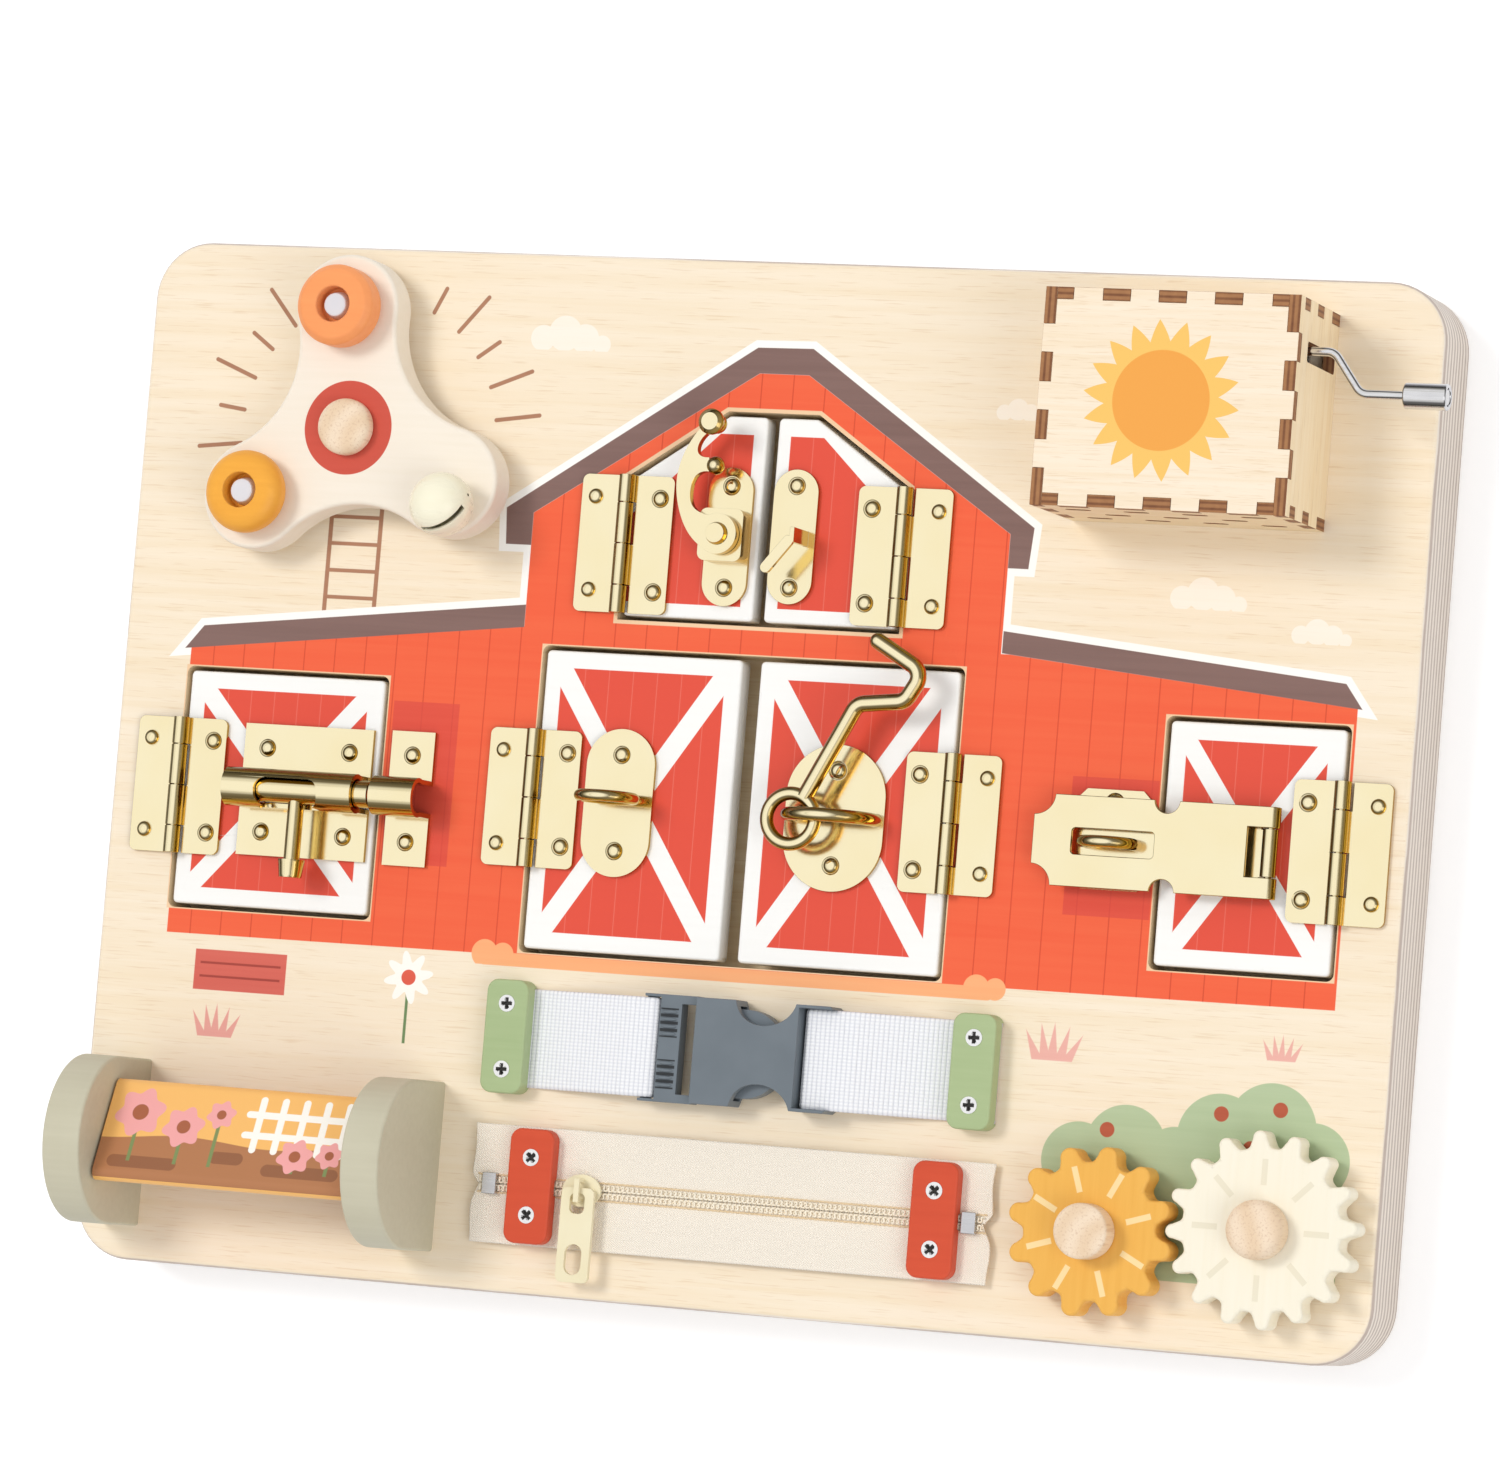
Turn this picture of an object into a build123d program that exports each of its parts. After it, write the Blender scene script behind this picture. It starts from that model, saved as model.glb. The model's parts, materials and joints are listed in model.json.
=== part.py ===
"""Wooden busy board: a plywood board with six barn doors and their latches, a three-armed
spinner, a hand-cranked music box, a picture roller, a buckled strap, a zipper and two gears.

Millimetres. The board lies flat on its back: X runs to its right, Y to its top, Z out of its
front face. The origin is the centre of the back face. "h" is a height above the front face.
"""

import math
import os

from build123d import *

os.makedirs("parts", exist_ok=True)

# ---------------------------------------------------------------- driving dimensions
# board
board_wide = 350.0
board_tall = 267.0
board_thick = 24.0
board_corner = 15.0
board_edge_round = 1.5
front_thick = 13.5
opening_corner = 2.0

# doors
door_thick = 10.0
door_gap = 1.2
door_edge_round = 0.8
door_relief = 4.0
left_door_x, left_door_y = -127.5, -9.5
left_door_wide, left_door_tall = 57.4, 63.2
right_door_x, right_door_y = 135.0, -8.2
right_door_wide, right_door_tall = 47.6, 63.2
barn_door_x, barn_door_y = 0.4, -7.0
barn_door_wide, barn_door_tall = 114.4, 79.0
barn_seam = 5.0
loft_x = 1.0
loft_wide = 76.4
loft_top_wide = 24.6
loft_bottom_y, loft_shoulder_y, loft_top_y = 40.0, 77.0, 94.6
loft_seam = 3.0

# brass hardware
plate_thick = 1.2
plate_corner = 1.8
rivet_shank_radius = 1.0
rivet_shank_deep = 5.0
rivet_head_radius = 1.95
rivet_head_tall = 1.1
rivet_dish_radius = 2.6
rivet_dish_deep = 0.5
snug = 0.05
body_gap = 0.3

# hinges
hinge_wide = 25.2
hinge_tall = 35.4
knuckle_radius = 2.1
hinge_axis_h = 2.25
hinge_pin_radius = 0.9
knuckle_end_share = 0.2
hinge_rivet_x = 8.9
hinge_rivet_y = 12.0

# barrel bolt on the left door
bolt_x, bolt_y, bolt_h = -119.5, -9.2, 9.0
bolt_plate_wide, bolt_plate_tall = 36.2, 34.2
bolt_rivet_wide, bolt_rivet_tall = 23.2, 21.8
bolt_rod_radius = 3.5
bolt_bore_radius = 3.9
bolt_wall = 1.2
bolt_tip_gap = 0.5
bolt_slot_left, bolt_slot_right = -128.4, -110.7
bolt_slot_wide = 7.4
bolt_throw = 5.0
bolt_rod_long = 38.8
bolt_handle_radius = 2.1
bolt_handle_long = 18.0
bolt_knob_long = 4.6
bolt_knob_radius = 3.5
keeper_x = -90.2
keeper_wide = 12.0
keeper_tall = 34.8
keeper_rivet_y = 11.2

# hook and eyes on the barn doors
catch_inset, catch_up = 24.4, 0.1
catch_plate_wide, catch_plate_tall = 18.6, 37.8
catch_rivet_y = 12.3
ring_radius = 6.9
ring_wire = 1.5
ring_offset_y = 0.9
eye_inset, eye_down = 31.3, 0.3
eye_plate_wide, eye_plate_tall = 26.6, 37.2
eye_rivet_y = 12.0
arch_radius = 11.2
arch_leg = 3.5
arch_wire = 1.7
hook_eye_left, hook_eye_down, hook_h = 8.4, 1.3, 10.0
hook_end_short, hook_bend_long = 0.9, 16.0
hook_dip, hook_rise, hook_tip = -1.6, 8.6, -6.0
hook_eye_radius = 6.4
hook_eye_wire = 1.7
hook_wire = 2.1
hook_rest_turn = -120.0

# swing latch on the loft doors
latch_x, latch_y = -8.5, 62.4
latch_plate_wide, latch_plate_tall = 12.0, 35.4
latch_rivet_y = 13.0
latch_pad_wide, latch_pad_tall = 11.8, 13.4
latch_pad_h = 6.6
arm_thick = 2.4
arm_hub_radius = 5.2
arm_pivot_radius = 1.6
arm_rest_turn = 90.0
ball_radius = 2.35
ball_end_radius = 2.6
thumb_knob_radius = 3.3
tongue_x, tongue_y, tongue_tall = 12.7, 62.8, 10.6
leaf_long, leaf_wide = 11.6, 2.8
loft_catch_x, loft_catch_y = 9.1, 63.2
loft_catch_wide, loft_catch_tall = 12.0, 34.4

# hasp on the right door
hasp_axis_x, hasp_axis_h = 141.0, 3.1
hasp_y = -9.4
hasp_left_x = 80.4
hasp_tall = 22.8
hasp_h = 4.2
hasp_knuckle_radius = 2.0
hasp_slot_x, hasp_slot_wide, hasp_slot_tall = 101.2, 21.4, 6.6
hasp_notch_x, hasp_notch_radius = 114.6, 3.2
hasp_corner_cut = 5.2
hasp_window_long, hasp_window_tall = 5.4, 12.4
hasp_base_left = 119.0
staple_x = 99.8
staple_plate_wide, staple_plate_tall = 22.6, 25.0
staple_loop_radius = 6.4
staple_loop_wire = 1.5
staple_leg = 3.0

# spinner
spinner_x, spinner_y = -110.8, 84.8
spinner_h, spinner_thick = 4.0, 9.0
lobe_radius, lobe_reach = 14.2, 31.0
waist_radius, waist_reach = 27.8, 47.8
spinner_turn = 96.0
spinner_bore = 4.0
spinner_head_radius, spinner_head_tall = 7.3, 4.4
peg_deep = 8.0
running = 0.08
bead_radius, bead_tall, bead_chamfer = 10.5, 9.0, 1.6
bead_lift = 0.3
bead_bore = 2.6
bead_pocket, bead_pocket_deep = 4.6, 4.8
bead_pin_head, bead_pin_head_tall = 3.7, 2.9
round_bead_radius, round_bead_round = 10.7, 4.2
bell_radius, bell_wall = 8.2, 0.8
bell_loop_h = 2.2
bell_loop_radius, bell_loop_wire = 1.7, 0.45
bell_pea_radius = 2.4
staple_wire = 0.7
staple_half = 2.6

# music box
box_x, box_y = 115.1, 97.7
box_wide, box_tall, box_deep = 65.2, 54.0, 35.0
box_wall = 3.0
finger = 7.0
finger_pitch = 14.3
side_finger = 7.2
end_finger = 4.2
crank_y, crank_h = 112.4, 24.0
crank_wire = 1.1
crank_bend_x, crank_turn_x = 153.9, 161.2
crank_throw = 10.0
crank_knob_radius, crank_knob_long = 3.3, 11.0
crank_knob_x = 172.3
crank_slot = 5.0
sound_hole_long, sound_hole_wide, sound_hole_pitch = 6.6, 2.6, 15.0
bed_thick = 2.0
bed_left, bed_right = 103.0, 141.0
bed_bottom, bed_top = 78.0, 118.5
bearing_left, bearing_right, bearing_thick = 105.0, 133.4, 2.0
cylinder_radius = 6.5
cylinder_left, cylinder_right = 109.0, 131.0
cylinder_y, cylinder_h = 96.4, 16.0
cylinder_shaft = 1.5
crank_teeth, cylinder_teeth = 14, 26
works_gear_x, works_gear_thick = 136.6, 2.4
comb_h, comb_thick = 15.4, 1.0

# picture roller
roller_left_x, roller_right_x = -156.8, -84.1
roller_y, roller_h = -102.8, 18.3
roller_block = 10.4
roller_block_half = 21.7
roller_straight = 18.0
roller_face = 32.0
roller_edge_round = 2.4
roller_tilt = 24.0
roller_end_gap = 0.7
roller_axle_radius = 3.0
roller_axle_deep = 6.0

# buckled strap
strap_y = -68.3
strap_left_x, strap_right_x = -56.1, 69.6
strap_block_wide, strap_block_tall, strap_block_thick = 11.4, 29.0, 6.4
block_corner = 3.0
block_edge_round = 0.6
strap_screw_y = 8.4
webbing_wide, webbing_thick = 24.8, 1.4
clip_left_x, clip_shoulder_x, clip_tip_x = -18.3, -3.7, 18.6
clip_half, clip_h, clip_thick = 13.6, 2.6, 4.4
socket_left_x, socket_right_x = -3.3, 34.4
socket_half, socket_h, socket_thick = 13.4, 1.2, 8.6
socket_wall = 1.5
socket_waist_x, socket_waist_half, socket_flare_x = 17.2, 7.7, 23.4
prong_wide, prong_out = 3.4, 11.2

# zipper
zip_y = -105.8
zip_left_x, zip_right_x = -64.0, 78.0
zip_half = 15.2
zip_slit = 1.2
tape_h, tape_thick = 1.8, 0.6
coil_wide, coil_tall = 1.0, 1.0
coil_left_x, coil_right_x = -60.5, 74.5
zip_block_left_x, zip_block_right_x = -46.0, 62.4
zip_block_wide, zip_block_tall, zip_block_thick = 12.0, 29.2, 6.4
zip_screw_y = 7.3
slider_x, slider_long, slider_wide = -32.2, 10.4, 8.2
slider_plate = 1.0
slider_post = 0.6
slider_gap = 0.3
bridge_half, bridge_wide, bridge_bar = 3.0, 1.4, 0.9
pull_wide, pull_long, pull_thick = 8.8, 24.0, 1.4
pull_bar = 0.7
stop_long, stop_wide, stop_tall = 3.8, 5.4, 1.0
stop_left_x, stop_right_x = -57.8, 71.2

# block screws
screw_shank, screw_head, screw_deep = 1.2, 2.2, 6.0

# toy gears
orange_x, orange_y = 104.7, -105.4
orange_teeth, orange_outer = 12, 21.3
cream_x, cream_y = 148.3, -101.6
cream_teeth, cream_outer = 16, 24.3
gear_h, gear_thick = 2.2, 8.8
gear_root_deep = 4.2
orange_tip, orange_root = 2.5, 3.7
cream_tip, cream_root = 1.8, 3.2
gear_bore = 4.0
gear_head_radius, gear_head_tall = 6.9, 7.2

# ---------------------------------------------------------------- derived places
back_thick = board_thick - front_thick
hinge_x = {
    "left": left_door_x - left_door_wide / 2 + door_gap / 2,
    "barn_left": barn_door_x - barn_door_wide / 2 + door_gap / 2,
    "barn_right": barn_door_x + barn_door_wide / 2 - door_gap / 2,
    "right": right_door_x + right_door_wide / 2 - door_gap / 2,
    "loft_left": loft_x - loft_wide / 2 + door_gap / 2,
    "loft_right": loft_x + loft_wide / 2 - door_gap / 2,
}
catch_x = barn_door_x - barn_door_wide / 2 + catch_inset
catch_y = barn_door_y + catch_up
eye_x = barn_door_x + barn_door_wide / 2 - eye_inset
eye_y = barn_door_y - eye_down
hook_x, hook_y = eye_x - hook_eye_left, eye_y - hook_eye_down
hook_end = hook_x - catch_x - hook_end_short
hook_run = hook_end - hook_bend_long
loft_hinge_y = (loft_bottom_y + loft_shoulder_y) / 2 + 0.8
hinge_y = {
    "left": left_door_y + 0.2,
    "barn_left": barn_door_y,
    "barn_right": barn_door_y,
    "right": right_door_y,
    "loft_left": loft_hinge_y,
    "loft_right": loft_hinge_y,
}
# +1 where the door lies to the right of its hinge
door_side = {
    "left": 1, "barn_left": 1, "barn_right": -1, "right": -1, "loft_left": 1, "loft_right": -1,
}


def front(h):
    """Plane parallel to the board, h above its front face."""
    return Plane.XY.offset(board_thick + h)


def save(piece, label):
    """Label a finished piece and write it as one STEP file."""
    piece.part.label = label
    export_step(piece.part, f"parts/{label}.step")


def turned(x, y, angle):
    """Point (x, y) turned by angle degrees about the origin."""
    c, s = math.cos(math.radians(angle)), math.sin(math.radians(angle))
    return (x * c - y * s, x * s + y * c)


# ---------------------------------------------------------------- rivets and screws
def rivet_spots(x, y, dx, dy):
    """The four corners of a rivet pattern centred on x, y."""
    return [(x + i * dx, y + j * dy) for i in (-1, 1) for j in (-1, 1)]


def hinge_rivets(name, part_side):
    """Rivets of one leaf: part_side +1 for the door's leaf, -1 for the frame's."""
    x = hinge_x[name] + part_side * door_side[name] * hinge_rivet_x
    return [(x, hinge_y[name] - hinge_rivet_y), (x, hinge_y[name] + hinge_rivet_y)]


bolt_rivets = rivet_spots(bolt_x, bolt_y, bolt_rivet_wide / 2, bolt_rivet_tall / 2)
keeper_rivets = [(keeper_x, bolt_y - keeper_rivet_y), (keeper_x, bolt_y + keeper_rivet_y)]
catch_rivets = [(catch_x, catch_y - catch_rivet_y), (catch_x, catch_y + catch_rivet_y)]
eye_rivets = [(eye_x, eye_y - eye_rivet_y), (eye_x, eye_y + eye_rivet_y)]
latch_rivets = [(latch_x, latch_y - latch_rivet_y), (latch_x, latch_y + latch_rivet_y)]
loft_catch_rivets = [
    (loft_catch_x, loft_catch_y - latch_rivet_y),
    (loft_catch_x, loft_catch_y + latch_rivet_y),
]
hasp_base_x = (hasp_base_left + hasp_axis_x) / 2
hasp_rivets = [(hasp_base_x, hasp_y - 6.0), (hasp_base_x, hasp_y + 6.0)]
staple_rivets = [(staple_x, hasp_y + 1 - 9.3), (staple_x, hasp_y + 1 + 9.3)]

# one dome-headed rivet, standing at the origin of a plate's underside
with BuildPart() as rivet:
    with BuildSketch(Plane.XZ):
        with BuildLine():
            Polyline(
                (0, -rivet_shank_deep),
                (rivet_shank_radius, -rivet_shank_deep),
                (rivet_shank_radius, plate_thick - rivet_dish_deep),
                (rivet_head_radius, plate_thick - rivet_dish_deep),
            )
            Spline(
                (rivet_head_radius, plate_thick - rivet_dish_deep),
                (rivet_head_radius * 0.72, plate_thick - rivet_dish_deep + rivet_head_tall * 0.75),
                (0, plate_thick - rivet_dish_deep + rivet_head_tall),
                tangents=((0, 1), (-1, 0)),
            )
            Line((0, plate_thick - rivet_dish_deep + rivet_head_tall), (0, -rivet_shank_deep))
        make_face()
    revolve(axis=Axis.Z)


def add_rivets(spots, h=0.0):
    """Rivets seated on the plates whose underside is h above the front face."""
    with Locations(*[(x, y, board_thick + h) for x, y in spots]):
        add(rivet.part)


def dish(spots, h=0.0):
    """Rivet holes with a shallow dish, cut through a plate."""
    with Locations(*[(x, y, board_thick + h + plate_thick) for x, y in spots]):
        CounterSinkHole(rivet_shank_radius + snug, rivet_dish_radius, counter_sink_angle=125)


def wood_holes(spots):
    """Rivet holes in the wood under a plate, a little wider and deeper than the shank."""
    with BuildSketch(front(0)) as rounds:
        with Locations(*spots):
            Circle(rivet_shank_radius + snug)
    extrude(rounds.sketch, amount=-(rivet_shank_deep + snug), mode=Mode.SUBTRACT)


block_screws_at = (
    [(strap_left_x, strap_y + j * strap_screw_y) for j in (-1, 1)]
    + [(strap_right_x, strap_y + j * strap_screw_y) for j in (-1, 1)]
    + [(zip_block_left_x, zip_y + j * zip_screw_y) for j in (-1, 1)]
    + [(zip_block_right_x, zip_y + j * zip_screw_y) for j in (-1, 1)]
)

with BuildPart() as block_screws:
    for x, y in block_screws_at:
        with BuildSketch(front(-screw_deep)):
            with Locations((x, y)):
                Circle(screw_shank)
        extrude(amount=screw_deep + strap_block_thick - 1.0)
        with BuildSketch(front(strap_block_thick - 1.1)):
            with Locations((x, y)):
                Circle(screw_shank)
        with BuildSketch(front(strap_block_thick)):
            with Locations((x, y)):
                Circle(screw_head)
        loft()
        # the crossed driver recess
        with BuildSketch(front(strap_block_thick)):
            with Locations((x, y)):
                Rectangle(2.6, 0.6, rotation=20)
                Rectangle(0.6, 2.6, rotation=20)
        extrude(amount=-0.6, mode=Mode.SUBTRACT)
save(block_screws, "block_screws")


def screw_holes(spots, h_low, h_high):
    """Clearance holes for the block screws between two heights."""
    with BuildSketch(front(h_low)) as rounds:
        with Locations(*spots):
            Circle(screw_shank + snug)
    extrude(rounds.sketch, amount=h_high - h_low, mode=Mode.SUBTRACT)


# ---------------------------------------------------------------- board
def loft_outline(inset):
    """Corners of the loft opening, moved inwards by inset."""
    half = loft_wide / 2 - inset
    rise = loft_top_y - loft_shoulder_y
    run = (loft_wide - loft_top_wide) / 2
    slope = math.atan2(rise, run)
    shoulder = loft_shoulder_y - inset * math.tan(slope / 2) * 1.0 - inset * 0.35
    top = loft_top_y - inset
    top_half = loft_top_wide / 2 - inset * math.tan(slope / 2)
    return [
        (loft_x - half, loft_bottom_y + inset),
        (loft_x + half, loft_bottom_y + inset),
        (loft_x + half, shoulder),
        (loft_x + top_half, top),
        (loft_x - top_half, top),
        (loft_x - half, shoulder),
    ]


with BuildPart() as back_panel:
    with BuildSketch():
        RectangleRounded(board_wide, board_tall, board_corner)
    extrude(amount=back_thick)
    fillet(back_panel.faces().sort_by(Axis.Z)[0].edges(), board_edge_round)
save(back_panel, "back_panel")

with BuildPart() as front_panel:
    with BuildSketch(Plane.XY.offset(back_thick)):
        RectangleRounded(board_wide, board_tall, board_corner)
    extrude(amount=front_thick)
    fillet(front_panel.faces().sort_by(Axis.Z)[-1].edges(), board_edge_round)
    with BuildSketch(Plane.XY.offset(back_thick)):
        with Locations((left_door_x, left_door_y)):
            RectangleRounded(left_door_wide, left_door_tall, opening_corner)
        with Locations((right_door_x, right_door_y)):
            RectangleRounded(right_door_wide, right_door_tall, opening_corner)
        with Locations((barn_door_x, barn_door_y)):
            RectangleRounded(barn_door_wide, barn_door_tall, opening_corner)
        Polygon(*loft_outline(0), align=None)
    extrude(amount=front_thick, mode=Mode.SUBTRACT)
    for name in hinge_x:
        wood_holes(hinge_rivets(name, -1))
    wood_holes(keeper_rivets + staple_rivets)
    screw_holes(block_screws_at, -screw_deep - snug, 0)
    with BuildSketch(front(0)):
        with Locations((spinner_x, spinner_y)):
            Circle(spinner_bore + snug)
        with Locations((orange_x, orange_y), (cream_x, cream_y)):
            Circle(gear_bore + snug)
    extrude(amount=-(peg_deep + snug), mode=Mode.SUBTRACT)
save(front_panel, "front_panel")


# ---------------------------------------------------------------- doors
def door_panel(name, corners, rivets):
    """A door cut from its corners, flush with the front face, with its rivet holes.

    The back of its free edge is bevelled, so that it swings out past the frame.
    """
    way = door_side[name.removesuffix("_door")]
    free_x = (max if way > 0 else min)(x for x, _ in corners)
    back_z = board_thick - door_thick
    with BuildPart() as door:
        with BuildSketch(front(0)):
            Polygon(*corners, align=None)
        extrude(amount=-door_thick)
        fillet(door.edges().filter_by(Axis.Z), door_edge_round * 1.5)
        fillet(door.faces().sort_by(Axis.Z)[-1].edges(), door_edge_round)
        with BuildSketch(Plane.XZ):
            Polygon(
                (free_x + way, back_z - 1),
                (free_x + way, back_z + door_relief + 1),
                (free_x - way * (door_relief + 1), back_z - 1),
                align=None,
            )
        extrude(amount=board_wide, both=True, mode=Mode.SUBTRACT)
        wood_holes(rivets)
    save(door, name)
    return door


def rectangle_corners(x0, x1, y0, y1):
    """Corners of a rectangle between two x and two y values."""
    return [(x0, y0), (x1, y0), (x1, y1), (x0, y1)]


left_edges = (
    left_door_x - left_door_wide / 2 + door_gap,
    left_door_x + left_door_wide / 2 - door_gap,
    left_door_y - left_door_tall / 2 + door_gap,
    left_door_y + left_door_tall / 2 - door_gap,
)
right_edges = (
    right_door_x - right_door_wide / 2 + door_gap,
    right_door_x + right_door_wide / 2 - door_gap,
    right_door_y - right_door_tall / 2 + door_gap,
    right_door_y + right_door_tall / 2 - door_gap,
)
barn_bottom = barn_door_y - barn_door_tall / 2 + door_gap
barn_top = barn_door_y + barn_door_tall / 2 - door_gap
barn_left_edge = barn_door_x - barn_door_wide / 2 + door_gap
barn_right_edge = barn_door_x + barn_door_wide / 2 - door_gap

door_panel("left_door", rectangle_corners(*left_edges), hinge_rivets("left", 1) + bolt_rivets)
door_panel("right_door", rectangle_corners(*right_edges), hinge_rivets("right", 1) + hasp_rivets)
door_panel(
    "barn_left_door",
    rectangle_corners(barn_left_edge, barn_door_x - barn_seam / 2, barn_bottom, barn_top),
    hinge_rivets("barn_left", 1) + catch_rivets,
)
door_panel(
    "barn_right_door",
    rectangle_corners(barn_door_x + barn_seam / 2, barn_right_edge, barn_bottom, barn_top),
    hinge_rivets("barn_right", 1) + eye_rivets,
)
loft_in = loft_outline(door_gap)
seam_left, seam_right = loft_x - loft_seam / 2, loft_x + loft_seam / 2
door_panel(
    "loft_left_door",
    [loft_in[0], (seam_left, loft_in[0][1]), (seam_left, loft_in[4][1]), loft_in[4], loft_in[5]],
    hinge_rivets("loft_left", 1) + latch_rivets,
)
door_panel(
    "loft_right_door",
    [(seam_right, loft_in[1][1]), loft_in[1], loft_in[2], loft_in[3], (seam_right, loft_in[3][1])],
    hinge_rivets("loft_right", 1) + loft_catch_rivets,
)

# ---------------------------------------------------------------- hinges
knuckle_ends = [-hinge_tall / 2]
for share in (knuckle_end_share, 0.5, 1 - knuckle_end_share, 1):
    knuckle_ends.append(hinge_tall * (share - 0.5))


def hinge_leaf(name, part_side):
    """One leaf in the current part: plate, its two knuckles and gaps for the other's two."""
    x, y = hinge_x[name], hinge_y[name]
    way = part_side * door_side[name]
    own = (0, 2) if part_side < 0 else (1, 3)
    root = knuckle_radius + 0.4
    with BuildSketch(front(0)) as plate:
        with Locations((x + way * (root + hinge_wide / 2) / 2, y)):
            Rectangle(hinge_wide / 2 - root, hinge_tall)
        outer = plate.vertices().sort_by(Axis((x, y, 0), (way, 0, 0)))[-2:]
        fillet(outer, plate_corner)
    extrude(plate.sketch, amount=plate_thick)
    for k in own:
        low = y + knuckle_ends[k] + (body_gap / 2 if k > 0 else 0)
        high = y + knuckle_ends[k + 1] - (body_gap / 2 if k < 3 else 0)
        with BuildSketch(Plane.XZ.offset(-low)) as knuckle:
            with Locations((x, board_thick + hinge_axis_h)):
                Circle(knuckle_radius)
            with Locations((x + way * (root + 0.6) / 2, board_thick + plate_thick / 2)):
                Rectangle(root + 0.6, plate_thick)
            with Locations((x, board_thick + hinge_axis_h)):
                Circle(hinge_pin_radius + snug, mode=Mode.SUBTRACT)
        extrude(knuckle.sketch, amount=-(high - low))


with BuildPart() as hinge_frame_leaves:
    for name in hinge_x:
        hinge_leaf(name, -1)
        dish(hinge_rivets(name, -1))
    for name in hinge_x:
        add_rivets(hinge_rivets(name, -1))
save(hinge_frame_leaves, "hinge_frame_leaves")

for name in hinge_x:
    with BuildPart() as door_leaf:
        hinge_leaf(name, 1)
        dish(hinge_rivets(name, 1))
        add_rivets(hinge_rivets(name, 1))
    save(door_leaf, f"{name}_hinge_leaf")

with BuildPart() as hinge_pins:
    for name in hinge_x:
        with BuildSketch(Plane.XZ.offset(-(hinge_y[name] - hinge_tall / 2))):
            with Locations((hinge_x[name], board_thick + hinge_axis_h)):
                Circle(hinge_pin_radius)
        extrude(amount=-hinge_tall)
save(hinge_pins, "hinge_pins")


# ---------------------------------------------------------------- barrel bolt
def bolt_saddle(x0, x1, plate_tall):
    """Omega-shaped strip between x0 and x1: two flat feet and a barrel raised to the bolt."""
    outer = bolt_bore_radius + bolt_wall
    with BuildSketch(Plane.YZ.offset(x0)) as omega:
        with Locations((bolt_y, board_thick + plate_thick / 2)):
            Rectangle(plate_tall, plate_thick)
        with Locations((bolt_y, board_thick + bolt_h)):
            Circle(outer)
        with Locations((bolt_y, board_thick + bolt_h / 2)):
            Rectangle(2 * outer - 0.6, bolt_h)
        with Locations((bolt_y, board_thick + bolt_h)):
            Circle(bolt_bore_radius, mode=Mode.SUBTRACT)
        with Locations((bolt_y, board_thick + bolt_h / 2 - 1)):
            Rectangle(2 * bolt_bore_radius - 0.6, bolt_h + 2, mode=Mode.SUBTRACT)
    extrude(omega.sketch, amount=x1 - x0)


with BuildPart() as bolt_barrel:
    bolt_left, bolt_right = bolt_x - bolt_plate_wide / 2, bolt_x + bolt_plate_wide / 2
    bolt_saddle(bolt_left, bolt_right, bolt_plate_tall)
    slot_middle = (bolt_slot_left + bolt_slot_right) / 2
    slot_long = bolt_slot_right - bolt_slot_left
    with BuildSketch(front(bolt_h + 1.0)):
        with Locations((slot_middle, bolt_y - 1.0)):
            RectangleRounded(slot_long, bolt_slot_wide, 3.0)
    extrude(amount=bolt_bore_radius + bolt_wall, mode=Mode.SUBTRACT)
    with BuildSketch(Plane.XZ.offset(-(bolt_y - bolt_bore_radius - bolt_wall - 1))):
        with Locations((slot_middle, board_thick + bolt_h)):
            RectangleRounded(slot_long, 2 * bolt_handle_radius + 0.8, 2.4)
    extrude(amount=-(bolt_bore_radius + bolt_wall), mode=Mode.SUBTRACT)
    dish(bolt_rivets)
    add_rivets(bolt_rivets)
save(bolt_barrel, "bolt_barrel")

with BuildPart() as bolt_keeper:
    bolt_saddle(keeper_x - keeper_wide / 2, keeper_x + keeper_wide / 2, keeper_tall)
    dish(keeper_rivets)
    add_rivets(keeper_rivets)
save(bolt_keeper, "bolt_keeper")

bolt_tip_x = keeper_x - keeper_wide / 2 - bolt_tip_gap
handle_x = bolt_slot_right - bolt_handle_radius - body_gap - bolt_throw
handle_plane = Plane(
    origin=(handle_x, bolt_y, board_thick + bolt_h), x_dir=(1, 0, 0), z_dir=(0, -1, 0)
)
with BuildPart() as bolt_rod:
    with BuildSketch(Plane.YZ.offset(bolt_tip_x - bolt_rod_long)):
        with Locations((bolt_y, board_thick + bolt_h)):
            Circle(bolt_rod_radius)
    extrude(amount=bolt_rod_long)
    chamfer(bolt_rod.edges().filter_by(GeomType.CIRCLE), 0.7)
    with BuildSketch(handle_plane):
        Circle(bolt_handle_radius)
    extrude(amount=bolt_handle_long)
    with BuildSketch(handle_plane.offset(bolt_handle_long)):
        Circle(bolt_knob_radius)
    extrude(amount=bolt_knob_long, taper=7)
save(bolt_rod, "bolt_rod")

# ---------------------------------------------------------------- hook and eyes
with BuildPart() as hook_catch:
    with BuildSketch(front(0)):
        with Locations((catch_x, catch_y)):
            SlotOverall(catch_plate_tall, catch_plate_wide, rotation=90)
    extrude(amount=plate_thick)
    dish(catch_rivets)
    ring_h = plate_thick + ring_radius + ring_wire - 0.5
    ring_centre = (catch_x, catch_y + ring_offset_y, board_thick + ring_h)
    with BuildSketch(Plane(origin=ring_centre, x_dir=(1, 0, 0), z_dir=(0, 0, 1))):
        with Locations((ring_radius, 0)):
            Circle(ring_wire)
    revolve(axis=Axis(ring_centre, (0, 1, 0)))
    add_rivets(catch_rivets)
save(hook_catch, "hook_catch")

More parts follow.
